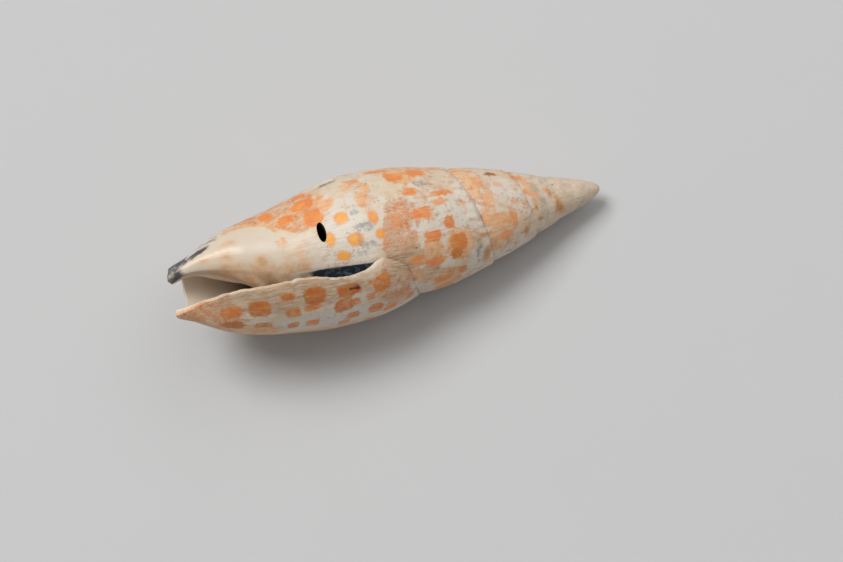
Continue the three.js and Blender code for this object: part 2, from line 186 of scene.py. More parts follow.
# Washes of peach, left by marks that have faded: turn, place, half sizes.
WASHES = (
    (-300, 35.7, 26, 2), (-280, 37.5, 14, 2.2), (-345, 33.2, 14, 2), (-357, 29.6, 12, 3), (-10, 31, 12, 3.4),
    (-24, 32, 8, 2.4), (-300, 21.4, 16, 1.5), (-318, 20.4, 14, 1.6), (-335, 19.2, 8, 1.1), (-290, 73, 6, 1.4),
    (-300, 71.4, 5, 1.3), (-306, 64.1, 7, 1.5), (-294, 62, 6, 1.3), (-289, 66.3, 6, 1.2), (-332, 56.5, 12, 3),
    (-20, 105, 26, 6), (-322, 84.4, 6, 1.2), (-336, 81, 8, 1.2), (-352, 57, 6, 4), (-6, 42, 16, 4),
    (-40, 46, 14, 4), (-285, 84, 18, 8), (-300, 77, 16, 4), (-274, 92, 10, 5), (-284, 52, 16, 4),
    (-270, 48, 14, 6), (-14, 57, 10, 3), (-38, 58, 10, 2), (-4, 50, 10, 3), (-48, 98, 12, 9), (-66, 84, 10, 16),
    (-28, 52, 10, 3),
)
# Scratched places beside the sutures: turn, place, half sizes.
SUTURE_SCRATCHES = (
    (-356, 38.6, 16, 2), (-16, 37.6, 14, 2), (-24, 51, 10, 3.4), (-352, 17.4, 14, 1.6), (-322, 19, 14, 2),
    (-10, 18, 16, 2),
)
# Patches that have stayed clean and white: turn, place, half sizes.
CLEAN_PATCHES = (
    (-338, 69, 26, 6), (-318, 27.6, 18, 3.2), (-343, 39.4, 22, 2.6), (-326, 41, 12, 2.6), (-44, 78, 10, 16),
    (-38, 36, 14, 1.2), (-40, 24, 16, 1.6), (-44, 30, 14, 2.6), (-345, 46, 6, 1.4),
)
# The chip in the upper outline, and the stain on it: turn, place, half sizes.
CHIP = ((-265, 69.3, 8, 3.2),)
CHIP_STAIN = ((-263, 69.3, 4, 2.8),)
# Rows of squarish spots on the side that lies on the floor and at the back: millimetres from the tip.
HIDDEN_ROWS = (31, 41, 48, 55, 62, 69, 76, 83, 90, 97)
HIDDEN_FROM = -76
HIDDEN_TO = -252
HIDDEN_STEP_MM = 5.6
SPIRE_ROWS = (17, 25)
HIDDEN_SEED = 11

CALLUS_TOP = (
    (84, -316), (84.9, -310), (87.2, -293), (89.8, -286), (94.7, -278), (98.9, -286), (103.2, -302),
    (108, -322),
)
CALLUS_END = ((-360, 83.5), (-344, 84.6), (-331, 85.4), (-318, 86.2), (-310, 84.9))
BAND_EDGE = ((70, -316), (74.3, -317), (79.5, -319), (87, -290), (95.4, -264), (98, -262))
BEAK_STREAK = ((98, -286), (102, -285), (105, -288), (108, -292), (110, -296))
OLD_SCAR = ((-360, 62.1), (-348, 62), (-337, 61.2), (-320, 59.7), (-300, 57.5))


def smooth_curve(points):
    """A smooth curve through the given points that never overshoots them."""
    px, py = (np.array(side, float) for side in zip(*points))
    slope = np.diff(py) / np.diff(px)
    tangent = np.zeros(len(px))
    tangent[0], tangent[-1] = slope[0], slope[-1]
    for i in range(1, len(px) - 1):
        if slope[i - 1] * slope[i] > 0:
            tangent[i] = 2 * slope[i - 1] * slope[i] / (slope[i - 1] + slope[i])

    def value(x):
        x = np.asarray(x, float)
        i = np.clip(np.searchsorted(px, x) - 1, 0, len(px) - 2)
        step = px[i + 1] - px[i]
        t = np.clip((x - px[i]) / step, -0.2, 1.2)
        a = 2 * t**3 - 3 * t**2 + 1
        b = t**3 - 2 * t**2 + t
        c = t**3 - t**2
        return a * py[i] + b * step * tangent[i] + (1 - a) * py[i + 1] + c * step * tangent[i + 1]

    return value


def mix(a, b, share):
    return a + (b - a) * share


def ramp(value, low, high):
    """0 at low, 1 at high, smooth between them."""
    t = np.clip((value - low) / (high - low), 0, 1)
    return t * t * (3 - 2 * t)


class GrownShell:
    """Where every part of the shell lies, in millimetres, from the turn angle and the place along the axis."""

    def __init__(self, sizes):
        self.ratio = sizes.whorl_ratio
        self.suture_at_lip = sizes.suture_at_lip / MM
        self.suture_dip = sizes.suture_dip / MM
        self.swell = sizes.whorl_swell
        self.wall = sizes.wall / MM
        self.lip_wall = sizes.lip_wall / MM
        self.fold_height = sizes.fold_height / MM
        self.notch = sizes.notch_depth / MM
        self.columella_swell = sizes.columella_swell / MM
        self.spire_radius = smooth_curve(SPIRE_OUTLINE)
        self.lip_radius = smooth_curve(LIP_OUTLINE)
        self.pillar_radius = smooth_curve(PILLAR_OUTLINE)
        self.beak_bend = smooth_curve(BEAK_BEND)
        self.lip_chip = smooth_curve(LIP_CHIP)
        self.joint = float(self.suture(0.0))
        start = float(self.suture(-TURN))
        self.joint_share = (self.joint - start) / (LENGTH_MM - start)
        quarters = [(q * self.joint_share, float(self.whorl_radius(-TURN, q))) for q in (0, 0.25, 0.5, 0.75)]
        self.old_radius = smooth_curve(tuple(quarters) + COLUMELLA_OUTLINE)

    def scale(self, turn):
        return self.ratio ** (np.asarray(turn, float) / TURN)

    def suture(self, turn):
        near = np.clip(1 + np.asarray(turn, float) / math.radians(SUTURE_DIP_ANGLE), 0, 1)
        return self.suture_at_lip * self.scale(turn) + self.suture_dip * near**2

    def whorl_radius(self, turn, share):
        back = self.spire_radius(self.suture(turn))
        ahead = self.spire_radius(self.suture(np.asarray(turn) + TURN))
        swell = self.swell * np.clip(self.suture(turn) / WORN_TO, WORN_SWELL, 1)
        return mix(back, ahead, share) + swell * back * 4 * share * (1 - share)

    def grown(self, turn):
        oldest = 1 / self.ratio
        return (self.scale(turn) - oldest) / (1 - oldest)

    def body_radius(self, turn, share):
        grown = self.grown(turn)
        ahead = np.clip((share - FULLER_FROM) / FULLER_OVER, 0, 1)
        fuller = grown + ahead * grown * (1 - grown) * (2 * grown - FULLER_START)
        radius = mix(self.old_radius(share), self.lip_radius(share), fuller)
        edge = mix(self.old_radius(0.0), self.lip_radius(0.0), grown)
        fade = np.clip(1 - share / SUTURE_MEETS, 0, 1) ** 2
        return radius + (self.spire_radius(self.suture(turn)) - edge) * fade

    def front_edge(self, turn):
        turn = np.degrees(turn)
        return LENGTH_MM - self.notch * ramp(turn, *NOTCH_FAR_END) * ramp(-turn, *NOTCH_LIP_END)

    def lip_sweep(self, turn, share, x):
        """How far the lip's edge is turned back: at the front, where it is chipped, and where it is ragged."""
        near = np.clip(1 + turn / math.radians(SWEEP_REACH), 0, 1)
        swept = 0
        for angle, start, over, power in TIP_SWEEPS:
            swept = swept + math.radians(angle) * np.clip((share - start) / over, 0, 1) ** power * near
        beside = np.clip(1 + turn / math.radians(CHIP_REACH), 0, 1) ** 2
        chip = self.lip_chip(np.clip(x, LIP_CHIP[0][0], LIP_CHIP[-1][0]))
        ragged = 0.5 * lattice_noise(21, x * 0.7, 0 * x, 0 * x) + 0.25 * lattice_noise(22, x * 1.7, 0 * x, 0 * x)
        return -swept - np.radians(chip + ragged * ramp(x, 63, 67)) * beside

    def at(self, turn, x, r):
        """The place of a turn angle, a distance along the axis and a radius, in the shell's own axes."""
        bend = np.where(x > BEAK_BEND[0][0], self.beak_bend(x), 0) * (1 - ramp(turn, -TURN, -TURN / 2))
        place = np.stack([x + 0 * turn, r * np.cos(turn), r * np.sin(turn) + bend], -1)
        for centre, reach, shift in DRAWN_ENDS:
            away = np.linalg.norm(place - np.array(centre), axis=-1)
            place = place + np.array(shift) * ramp(-away, -reach, 0)[..., None]
        return place

    def outside(self, turn, row):
        """Turn angle, distance along the axis and place for the wound sheet; rows go on to the front end."""
        turn, row = np.broadcast_arrays(np.asarray(turn, float), np.asarray(row, float))
        all_rows = WHORL_ROWS + FRONT_ROWS
        start = float(self.suture(-TURN))
        old_place = mix(self.joint, LENGTH_MM, (row - WHORL_ROWS) / FRONT_ROWS)
        old_front = (old_place - start) / (LENGTH_MM - start)
        old = np.where(row > WHORL_ROWS, old_front, self.joint_share * row / WHORL_ROWS)
        share = mix(old, row / all_rows, np.clip(self.grown(turn), 0, 1))
        body = turn > -TURN - 1e-6
        x_body = mix(self.suture(turn), self.front_edge(turn), share)
        across = np.clip(row / WHORL_ROWS, 0, 1)
        x_spire = mix(self.suture(turn), self.suture(turn + TURN), across)
        x = np.where(body, x_body, x_spire)
        r = np.where(body, self.body_radius(turn, share), self.whorl_radius(turn, across))
        swept = turn + np.where(body, self.lip_sweep(turn, share, x_body), 0)
        return swept, x, self.at(swept, x, r)

    def inner_radius(self, turn, x):
        scale = self.scale(turn)
        place = x / scale
        start = float(self.suture(-TURN))
        grown = scale * self.old_radius(np.clip((place - start) / (LENGTH_MM - start), 0, 1))
        inside = ramp(-turn, 0, math.radians(PILLAR_REACH))
        pillar = mix(grown, self.pillar_radius(x), inside)
        fold = 0 * place
        for i, at in enumerate(FOLD_PLACES):
            away = np.clip(np.abs(place - at) / FOLD_HALF_WIDTH, 0, 1)
            fold = fold + self.fold_height * (1 - FOLD_DROP * i) * np.cos(away * math.pi / 2) ** 2
        fold = fold + self.columella_swell * ramp(place, 90, 97) * ramp(-place, -105, -98)
        return np.maximum(grown, pillar) + scale * fold * inside

    def cavity_back(self, turn):
        inside = np.clip(-turn / math.radians(BACK_REACH), 0, 1)
        return mix(self.joint, (self.suture_at_lip + CAVITY_FROM_SUTURE) * self.scale(turn), inside)

    def cavity_front(self, turn):
        return np.minimum(self.front_edge(turn), CAVITY_FRONT * LENGTH_MM * self.scale(turn))

    def columella(self, turn, share):
        """The inner side of the cavity; share runs from its back end to its front end."""
        turn, share = np.broadcast_arrays(np.asarray(turn, float), np.asarray(share, float))
        last_fold = FOLD_PLACES[-1]
        place = mix(self.joint, LENGTH_MM, share)
        past = np.clip((place - last_fold) / (LENGTH_MM - last_fold), 0, 1)
        from_back = np.clip((place - self.joint) / (last_fold - self.joint), 0, 1)
        last = last_fold * self.scale(turn)
        behind = mix(self.cavity_back(turn), last, from_back)
        x = np.where(past > 0, mix(last, self.cavity_front(turn), past), behind)
        x = np.where(turn > -1e-9, place, x)
        return turn - TURN, x, self.at(turn - TURN, x, self.inner_radius(turn, x))

    def outer_radius(self, turn, x):
        edge = self.front_edge(turn)
        share = np.clip((x - self.suture(turn)) / (edge - self.suture(turn)), 0, 1)
        body = self.body_radius(turn, share)
        ahead = self.suture(turn + TURN)
        across = np.clip((x - self.suture(turn)) / (ahead - self.suture(turn)), 0, 1)
        older = np.where(x < ahead, self.whorl_radius(turn, across), self.inner_radius(turn + TURN, x))
        return np.where(turn > -TURN - 1e-6, body, older)

    def wall_inside(self, turn, share):
        """The inner face of the outer wall, which closes against the columella at the back and the front."""
        turn, share = np.broadcast_arrays(np.asarray(turn, float), np.asarray(share, float))
        x = mix(self.cavity_back(turn), self.cavity_front(turn), share)
        low = self.inner_radius(turn, x)
        high = self.outer_radius(turn, x)
        inside = np.clip(-turn / math.radians(WALL_REACH), 0, 1)
        thick = mix(self.lip_wall, self.wall * np.minimum(1, self.scale(turn) + 0.15), inside)
        room = np.maximum(high - low - thick, CAVITY_LEAST_ROOM * (high - low))
        open_share = np.clip((turn + math.pi) / math.radians(CANAL_REACH), 0, 1)
        back_close = np.sqrt(1 - np.clip(1 - share / BACK_CLOSES_OVER, 0, 1) ** 2)
        way = np.clip((share - FRONT_CLOSES_FROM) / FRONT_CLOSES_OVER, 0, 1)
        front_close = mix(np.sqrt(np.maximum(1 - way**2, 0)), 1, np.sqrt(open_share))
        sweep = self.lip_sweep(turn, share, x)
        near = self.at(turn - TURN, x, low)
        swung = np.stack([
            near[..., 0],
            near[..., 1] * np.cos(sweep) - near[..., 2] * np.sin(sweep),
            near[..., 1] * np.sin(sweep) + near[..., 2] * np.cos(sweep),
        ], -1)
        away = self.at(turn + sweep, x, low + room)
        return turn, x, swung + (away - swung) * (back_close * front_close)[..., None]


def lattice_noise(seed, *coordinates):
    """Smooth noise between -1 and 1, the same on every run."""
    table = np.random.default_rng(seed).uniform(-1, 1, (64, 64, 64))
    floors = [np.floor(c).astype(int) for c in coordinates]
    parts = [c - f for c, f in zip(coordinates, floors)]
    parts = [p * p * (3 - 2 * p) for p in parts]
    total = 0
    for corner in range(8):
        bits = [(corner >> k) & 1 for k in range(3)]
        weight = 1
        for bit, part in zip(bits, parts):
            weight = weight * (part if bit else 1 - part)
        total = total + weight * table[tuple((f + b) % 64 for f, b in zip(floors, bits))]
    return total


def hidden_marks(seed):
    """Marks for the sides that the photograph doesn't show, in the same rows as on the seen side."""
    rng = np.random.default_rng(seed)
    marks = []
    sides = ((HIDDEN_ROWS, HIDDEN_FROM, HIDDEN_TO), (SPIRE_ROWS, HIDDEN_FROM + 20, HIDDEN_TO - 20))
    for rows, first, last in sides:
        for place in rows:
            radius = float(smooth_curve(SPIRE_OUTLINE)(min(place, 62))) * (1 if place < 88 else 0.75)
            step = math.degrees(HIDDEN_STEP_MM / radius)
            turn = first - step * rng.uniform(0.1, 0.9)
            while turn > last:
                size = rng.uniform(0.7, 1.15)
                marks.append((
                    turn + rng.uniform(-2, 2),
                    place + rng.uniform(-1.3, 1.3),
                    step * 0.27 * size,
                    rng.uniform(1.3, 2.4) * size,
                    rng.uniform(0.4, 0.75) if place > 30 else rng.uniform(0.15, 0.45),
                ))
                turn -= step * rng.uniform(0.85, 1.25)
    return marks


def mark_depth(angle, x, radius, turn, place, half_turn, half_long, power=3.0):
    """How far inside a squarish mark a point is, in millimetres, below 0 outside it."""
    round_mm = np.maximum(half_turn * math.pi / 180 * radius, 0.15)
    off = (angle - turn + 180) % 360 - 180
    a = np.abs(off) * math.pi / 180 * radius / round_mm
    b = np.abs(x - place) / half_long
    size = (a**power + b**power) ** (1 / power)
    return (1 - size) * np.minimum(round_mm, half_long)


def strongest(*values):
    """The largest of several values at each point."""
    return reduce(np.maximum, values)


# What every point of the shell has where nothing is given: depths far outside a mark, far from a suture.
PLAIN_LOOKS = dict(
    orange=-4, yellow=-4, shade=0, weathered=0, callus=0, stain=0, tip=0, streaks=0, grey=0, tan=0,
    from_suture=9, inside=0, wash=0, slate=0, deep=0, edge_line=0, after_suture=9,
)


def looks_at_points(x, **given):
    """The looks at each point: what is given, and the plain looks for the rest."""
    return {key: given.get(key, plain) + 0 * x for key, plain in PLAIN_LOOKS.items()}


def mark_fields(angle, x, radius):
    """Depth inside the nearest orange mark, inside the nearest yellow spot, and the orange mark's shade."""
    far = np.full(np.shape(x), -4.0)
    orange, shade, yellow = far.copy(), np.full(np.shape(x), 0.5), far.copy()
    squarish = (*TOP_MARKS, *LOWER_MARKS, *LIP_MARKS, *SPIRE_MARKS, *hidden_marks(HIDDEN_SEED))
    for turn, place, half_turn, half_long, tone in squarish:
        depth = mark_depth(angle, x, radius, turn, place, half_turn, half_long)
        nearer = depth > orange
        orange = np.where(nearer, depth, orange)
        shade = np.where(nearer, tone, shade)
    for turn, place, half_turn, half_long in DARK_RED_MARKS:
        depth = mark_depth(angle, x, radius, turn, place, half_turn, half_long, 2)
        shade = np.where(depth > -0.25, 1.0, shade)
    for turn, place, half_turn, half_long in YELLOW_SPOTS:
        yellow = np.maximum(yellow, mark_depth(angle, x, radius, turn, place, half_turn, half_long, 2.2))
    return orange, yellow, shade


def soft_spots(angle, x, radius, spots, reach=1.0):
    """0 to 1, full at the middle of each soft blotch."""
    total = 0 * x
    for turn, place, half_turn, half_long in spots:
        depth = mark_depth(angle, x, radius, turn, place, half_turn, half_long, 2.0)
        total = np.maximum(total, ramp(depth, -reach, reach * 0.6))
    return total


def outside_fields(shell, turn, x, position, angle=None):
    """The looks of the outside, worked out at each point from its turn angle and its place."""
    radius = np.hypot(position[..., 1], position[..., 2])
    if angle is None:
        turned = np.round(np.degrees(turn), 6)
        angle = np.where(turned > -360, turned, turned % 360 - 360)
    # From the lip's line: above 0 on the columella's side, below 0 on the lip's side.
    off_lip = (angle + 180) % 360 - 180
    orange, yellow, shade = mark_fields(angle, x, radius)
    wander = lattice_noise(3, x * 0.5, np.cos(turn) * radius * 0.5, np.sin(turn) * radius * 0.5)

    scar = np.where(off_lip > 0, smooth_curve(OLD_SCAR)(np.clip(angle, -360, -300)), 62)
    above_scar = ramp(scar - x + 1.1 * wander, -0.5, 0.9) * ramp(x + 2.5 * wander, 50, 56)
    above_scar = above_scar * ramp(-off_lip, -54, -38) * ramp(off_lip, -30, -8)
    joint_side = ramp(x, 50, 57) * ramp(-x, -69, -63) * ramp(-off_lip, -2, 4) * ramp(off_lip, -76, -40)
    band = ramp(x, 70, 76) * ramp(-x, -97, -93) * ramp(-angle, 234, 256)
    band = band * ramp(angle - smooth_curve(BAND_EDGE)(np.clip(x, 70, 98)), -2, 3)
    front_tip = ramp(x, 92, 104) * ramp(angle, -80, -50)
    weathered = strongest(
        above_scar, 0.7 * joint_side, 0.4 * ramp(-x, -60, -52), 0.66 * band, 0.6 * front_tip,
    )

    callus_top = smooth_curve(CALLUS_TOP)(np.clip(x, 84, 108))
    callus_end = smooth_curve(CALLUS_END)(np.clip(angle, -360, -310))
    under_top = (callus_top - angle) * math.pi / 180 * radius
    callus = ramp(np.minimum(under_top, x - callus_end), -0.3, 0.3)
    edge_line = ramp(-np.abs(x - callus_end - 0.1), -0.55, -0.1) * ramp(-angle, 318, 330)
    glazed = ramp(-angle, 316, 326) * ramp(x, 74.5, 78)
    callus = np.maximum(callus, 0.55 * glazed)

    clouded = 0.7 + 0.5 * lattice_noise(12, *(position[..., k] * 0.55 for k in range(3)))
    beak_streak = smooth_curve(BEAK_STREAK)(np.clip(x, 98, 110))
    stain = strongest(
        0.95 * ramp(x, 93, 102) * ramp(-angle, 226, 258) * ramp(angle + 3 * (x - 104), -310, -296) * clouded,
        (0.8 + 0.3 * wander) * ramp(-np.abs(angle - beak_streak) * radius, -170, -10) * ramp(x, 98, 102),
        (0.6 + 0.4 * clouded) * ramp(x + 0.8 * wander, 105.5, 109) * ramp(-angle, 200, 262),
        0.85 * soft_spots(angle, x, radius, CHIP_STAIN),
    )
    tip = ramp(-x, -26, -12)
    streaks = strongest(
        ramp(x, 62, 70) * ramp(-x, -112, -96) * ramp(angle, -36, -12),
        0.8 * ramp(x, 46, 56) * ramp(-x, -66, -60) * ramp(-np.abs(off_lip + 6), -22, -6),
        0.6 * soft_spots(angle, x, radius, SUTURE_SCRATCHES, reach=1.2),
    )
    grey = soft_spots(angle, x, radius, GREY_SMUDGES, reach=0.7)
    tan = strongest(
        0.8 * soft_spots(angle, x, radius, TAN_BLOTCHES, reach=2.4) * np.maximum(callus, 0.6),
        0.75 * ramp(-angle, 328, 356) * ramp(x, 77, 80) * ramp(-x, -106, -99),
        soft_spots(angle, x, radius, BROWN_STAINS),
    )
    wash = strongest(soft_spots(angle, x, radius, WASHES, reach=1.4), 0.8 * band, front_tip)
    wash = wash - soft_spots(angle, x, radius, CLEAN_PATCHES, reach=1.8) * (1 - wash)

    start = shell.suture(turn)
    after_suture = np.where(turn > -TURN * 5.5, x - start, 9)
    before_suture = np.where((turn < -TURN) & (turn > -TURN * 6.5), shell.suture(turn + TURN) - x, 9)
    from_suture = np.minimum(np.abs(after_suture), np.abs(before_suture)) + 3 * ramp(-x, -30, -16)
    return looks_at_points(
        x, orange=orange, yellow=yellow, shade=shade, weathered=weathered, callus=callus, stain=stain, tip=tip,
        streaks=streaks, grey=grey, tan=tan, from_suture=from_suture, wash=wash, edge_line=edge_line,
        after_suture=after_suture,
    )


def inside_fields(turn, x, position):
    """The looks of the cavity's walls, with painted shade deeper inside and painted shadow at the slit and beak."""
    back = -np.degrees(turn)
    ragged = 1.5 * lattice_noise(31, turn * 9, x * 0.4, 0 * x)
    # The slit behind the lip: a dark stain, with painted shadow for its recess.
    slate = ramp(x, 62, 64.5) * ramp(-x - ragged, -83, -76) * ramp(-back, -90, -50)
    # Painted shade: the cavity's wall darkens towards its back and further round from the lip.
    deep = ramp(-x, -102, -84) * (0.5 + 0.5 * ramp(back, 10, 90))
    # Painted shadow: darkens the cavity's wall just inside the beak's end.
    stain = 0.9 * ramp(x, 107.5, 109.5) * ramp(back, 150, 200)
    return looks_at_points(x, callus=1, stain=stain, inside=1, slate=slate, deep=deep)


def relief_height(shell, fields, turn, x, position):
    """How far the worn surface stands off its smooth form, in millimetres."""
    radius = np.hypot(position[..., 1], position[..., 2])
    jagged = 1 + 0.5 * lattice_noise(4, turn * 12, 0 * x, 0 * x)
    ledge = 0.42 * jagged * ramp(fields["after_suture"], 0, 0.5) * ramp(-fields["after_suture"], -5, -0.8)
    ledge = ledge * ramp(x, 12, 32) * (1 - 0.75 * ramp(np.degrees(turn), -110, -40))
    ridge = 0.12 * fields["edge_line"] + 0.1 * fields["callus"] * (1 - fields["inside"])
    ripple = lattice_noise(5, turn * 46, x * 0.06, 0 * x) + 0.6 * lattice_noise(6, turn * 101, x * 0.11, 0 * x)
    ripple = 0.035 * ripple * (1 - 0.8 * fields["callus"]) * (1 - fields["inside"])
    chip = 0.6 * soft_spots(np.degrees(turn), x, radius, CHIP)
    lumps = 0.07 * lattice_noise(8, *(position[..., k] * 0.3 for k in range(3)))
    rough = fields["weathered"] * 0.05 * lattice_noise(9, *(position[..., k] * 1.4 for k in range(3)))
    keep = ramp(radius, 1.5, 4)
    return (ledge + ridge + (ripple + lumps + rough - np.clip(chip, 0, 1)) * (1 - fields["inside"])) * keep


def write_fields(piece, shell, turn, x, position, fields):
    """Keeps the looks of each point at the corners of its faces, so a whorl's edge has its own on each side."""
    mesh = piece.data
    corners = np.zeros(len(mesh.loops), int)
    mesh.loops.foreach_get("vertex_index", corners)
    steps = np.linspace(-7 * TURN, 0.2, 600)
    widths = shell.spire_radius(np.clip(shell.suture(steps), 0, 62)) * np.gradient(steps)
    arc = np.interp(turn, steps, np.cumsum(widths))
    # Lines of growth lean back towards the spire beside the suture.
    arc = arc - 0.5 * np.clip(fields["after_suture"], 0, 9) * ramp(x, 8, 24)
    growth = mesh.uv_layers.new(name="growth")
    growth.data.foreach_set("uv", np.stack([arc, x], -1)[corners].astype(np.float32).ravel())
    groups = {
        "marks": ("orange", "yellow", "shade"),
        "wear": ("weathered", "callus", "stain"),
        "grime": ("streaks", "grey", "tan"),
        "site": ("from_suture", "tip", "inside"),
        # The 'wash' attribute also carries the slit's stain and painted shadow, and the painted shade deep in the
        # cavity.
        "wash": ("wash", "slate", "deep"),
    }
    for name, keys in groups.items():
        values = np.stack([fields[key] + 0 * x for key in keys], -1)
        made = mesh.attributes.new(name, "FLOAT_VECTOR", "CORNER")
        made.data.foreach_set("vector", values[corners].astype(np.float32).ravel())
    raised = mesh.attributes.new("relief", "FLOAT", "POINT")
    raised.data.foreach_set("value", relief_height(shell, fields, turn, x, position).astype(np.float32))


def only_this(piece):
    bpy.ops.object.select_all(action="DESELECT")
    piece.select_set(True)
    bpy.context.view_layer.objects.active = piece


def set_places(piece, places):
    """Moves every point of a mesh to its place, given in millimetres."""
    piece.data.vertices.foreach_set("co", (np.asarray(places) * MM).astype(np.float32).ravel())
    piece.data.update()


def select_labelled(mesh, step, row=None):
    """Selects only the points of one winding step, or of one row of it."""
    edit = bmesh.from_edit_mesh(mesh)
    steps, rows = (edit.verts.layers.float[name] for name in ("winding_step", "winding_row"))
    for point in edit.verts:
        point.select_set(point[steps] == step and row in (None, point[rows]))
    edit.select_flush_mode()
    bmesh.update_edit_mesh(mesh)


def label_selected(mesh, step=None, row=None):
    """Writes the winding step, or the row, on the points that an extrusion has just made."""
    edit = bmesh.from_edit_mesh(mesh)
    for name, value in (("winding_step", step), ("winding_row", row)):
        if value is not None:
            layer = edit.verts.layers.float[name]
            for point in edit.verts:
                if point.select:
                    point[layer] = value
    bmesh.update_edit_mesh(mesh)


def wound_outside(shell):
    """The outside, wound step by step: a strip grows from the tip, turned and enlarged at each step, and for the
    last turn its profile runs on down the columella to the front end."""
    first = -CAGE_TURNS * CAGE_STEPS
    bpy.ops.object.select_all(action="DESELECT")
    bpy.ops.mesh.primitive_grid_add(x_subdivisions=1, y_subdivisions=WHORL_ROWS, size=1)
    piece = bpy.context.active_object
    mesh = piece.data
    steps = [first + round(v.co.x + 0.5) for v in mesh.vertices]
    rows = [round((v.co.y + 0.5) * WHORL_ROWS) for v in mesh.vertices]
    mesh.attributes.new("winding_step", "FLOAT", "POINT").data.foreach_set("value", steps)
    mesh.attributes.new("winding_row", "FLOAT", "POINT").data.foreach_set("value", rows)
    turns = np.array(steps) * TURN / CAGE_STEPS
    set_places(piece, shell.outside(turns, np.array(rows))[2])

    bpy.ops.object.mode_set(mode="EDIT")
    bpy.ops.mesh.select_mode(type="VERT")
    growth = shell.ratio ** (1 / CAGE_STEPS)
    select_labelled(mesh, first + 1)
    for step in range(first + 2, 1):
        if step == -CAGE_STEPS + 1:
            select_labelled(mesh, step - 1, WHORL_ROWS)
            reach = (LENGTH_MM - shell.joint) / FRONT_ROWS * MM
            for row in range(WHORL_ROWS + 1, WHORL_ROWS + FRONT_ROWS + 1):
                bpy.ops.mesh.extrude_region()
                bpy.ops.transform.translate(value=(reach, 0, 0))
                label_selected(mesh, row=row)
            select_labelled(mesh, step - 1)
        bpy.ops.mesh.extrude_region()
        bpy.ops.transform.rotate(value=TURN / CAGE_STEPS, orient_axis="X", center_override=(0, 0, 0))
        bpy.ops.transform.resize(value=(growth, growth, growth), center_override=(0, 0, 0))
        label_selected(mesh, step=step)
    bpy.ops.object.mode_set(mode="OBJECT")

    finer = piece.modifiers.new("finer", "SUBSURF")
    finer.subdivision_type = "SIMPLE"
    finer.levels = finer.render_levels = CAGE_LEVELS
    only_this(piece)
    bpy.ops.object.modifier_apply(modifier=finer.name)
    count = len(mesh.vertices)
    step, row = np.zeros(count), np.zeros(count)
    mesh.attributes["winding_step"].data.foreach_get("value", step)
    mesh.attributes["winding_row"].data.foreach_get("value", row)
    fine = 2**CAGE_LEVELS
    step, row = np.round(step * fine) / fine, np.round(row * fine) / fine
    settle_outside(piece, shell, step * TURN / CAGE_STEPS, row)
    for name in ("winding_step", "winding_row"):
        mesh.attributes.remove(mesh.attributes[name])
    return piece


def settle_outside(piece, shell, turn, row):
    """Settles the points of an outside sheet on the grown shell's surface and gives them their looks."""
    swept, x, position = shell.outside(turn, row)
    set_places(piece, position)
    write_fields(piece, shell, turn, x, position, outside_fields(shell, turn, x, position))


def rolled_sheet(name, steps, rows, surface, shell):
    """A flat grid rolled up inside the last whorl."""
    bpy.ops.object.select_all(action="DESELECT")
    bpy.ops.mesh.primitive_grid_add(x_subdivisions=steps, y_subdivisions=rows, size=1)
    piece = bpy.context.active_object
    piece.name = name
    flat = np.zeros(len(piece.data.vertices) * 3)
    piece.data.vertices.foreach_get("co", flat)
    flat = flat.reshape(-1, 3)
    turn = -np.round((flat[:, 0] + 0.5) * steps) * TURN / CAVITY_STEPS
    share = np.round((flat[:, 1] + 0.5) * rows) / rows
    angle, x, position = surface(turn, share)
    set_places(piece, position)
    fields = inside_fields(turn, x, position)
    if surface == shell.columella:
        outside = outside_fields(shell, angle, x, position, angle=0 * x - 360)
        back = -np.degrees(turn)
        within = np.maximum(ramp(back, 24, 70), ramp(back, 0.5, 4) * ramp(-x, -85, -81))
        for key in fields:
            fields[key] = mix(outside[key], fields[key], within)
    write_fields(piece, shell, angle, x, position, fields)
    return piece


def sewn_strip(name, chains, looks, shell):
    """A strip of faces between two or more chains of points, whatever the number of points in each."""
    places, faces, starts = [], [], []
    for chain in chains:
        starts.append(len(places))
        places.extend(chain)
    for (a, first), (b, second) in zip(zip(starts, chains), zip(starts[1:], chains[1:])):
        i = j = 0
        while i < len(first) - 1 or j < len(second) - 1:
            ahead_a = (i + 1) / (len(first) - 1) if i < len(first) - 1 else 2
            ahead_b = (j + 1) / (len(second) - 1) if j < len(second) - 1 else 2
            if ahead_a <= ahead_b:
                faces.append((a + i, a + i + 1, b + j))
                i += 1
            else:
                faces.append((a + i, b + j + 1, b + j))
                j += 1
    mesh = bpy.data.meshes.new(name)
    mesh.from_pydata([tuple(float(c) * MM for c in p) for p in places], [], faces)
    piece = bpy.data.objects.new(name, mesh)
    bpy.context.scene.collection.objects.link(piece)
    position = np.array(places)
    turn = np.concatenate([look[0] for look in looks])
    inside = np.concatenate([look[1] for look in looks])
    angle = np.maximum(np.degrees(turn), -360) if name != "worn tip" else None
    fields = outside_fields(shell, turn, position[:, 0], position, angle)
    within = inside_fields(turn, position[:, 0], position)
    for key in fields:
        fields[key] = mix(fields[key], within[key], inside)
    write_fields(piece, shell, turn, position[:, 0], position, fields)
    return piece


def rounded_edge(name, shell, outer, inner_fine, inner, turn, bulge):
    """An edge between the outside and the inside of the wall, rounded over by two chains between them."""
    count = len(outer)
    taper = np.sin(np.linspace(0, math.pi, count)) ** 0.3
    taper[0] = taper[-1] = 0
    middle = [mix(outer, inner_fine, s) + np.array(bulge) * taper[:, None] for s in (1 / 3, 2 / 3)]
    looks = [(turn, np.full(count, share)) for share in (0.0, 0.15, 0.6)]
    inner_turn = np.interp(np.linspace(0, 1, len(inner)), np.linspace(0, 1, count), turn)
    looks.append((inner_turn, np.ones(len(inner))))
    return sewn_strip(name, [outer, middle[0], middle[1], inner], looks, shell)


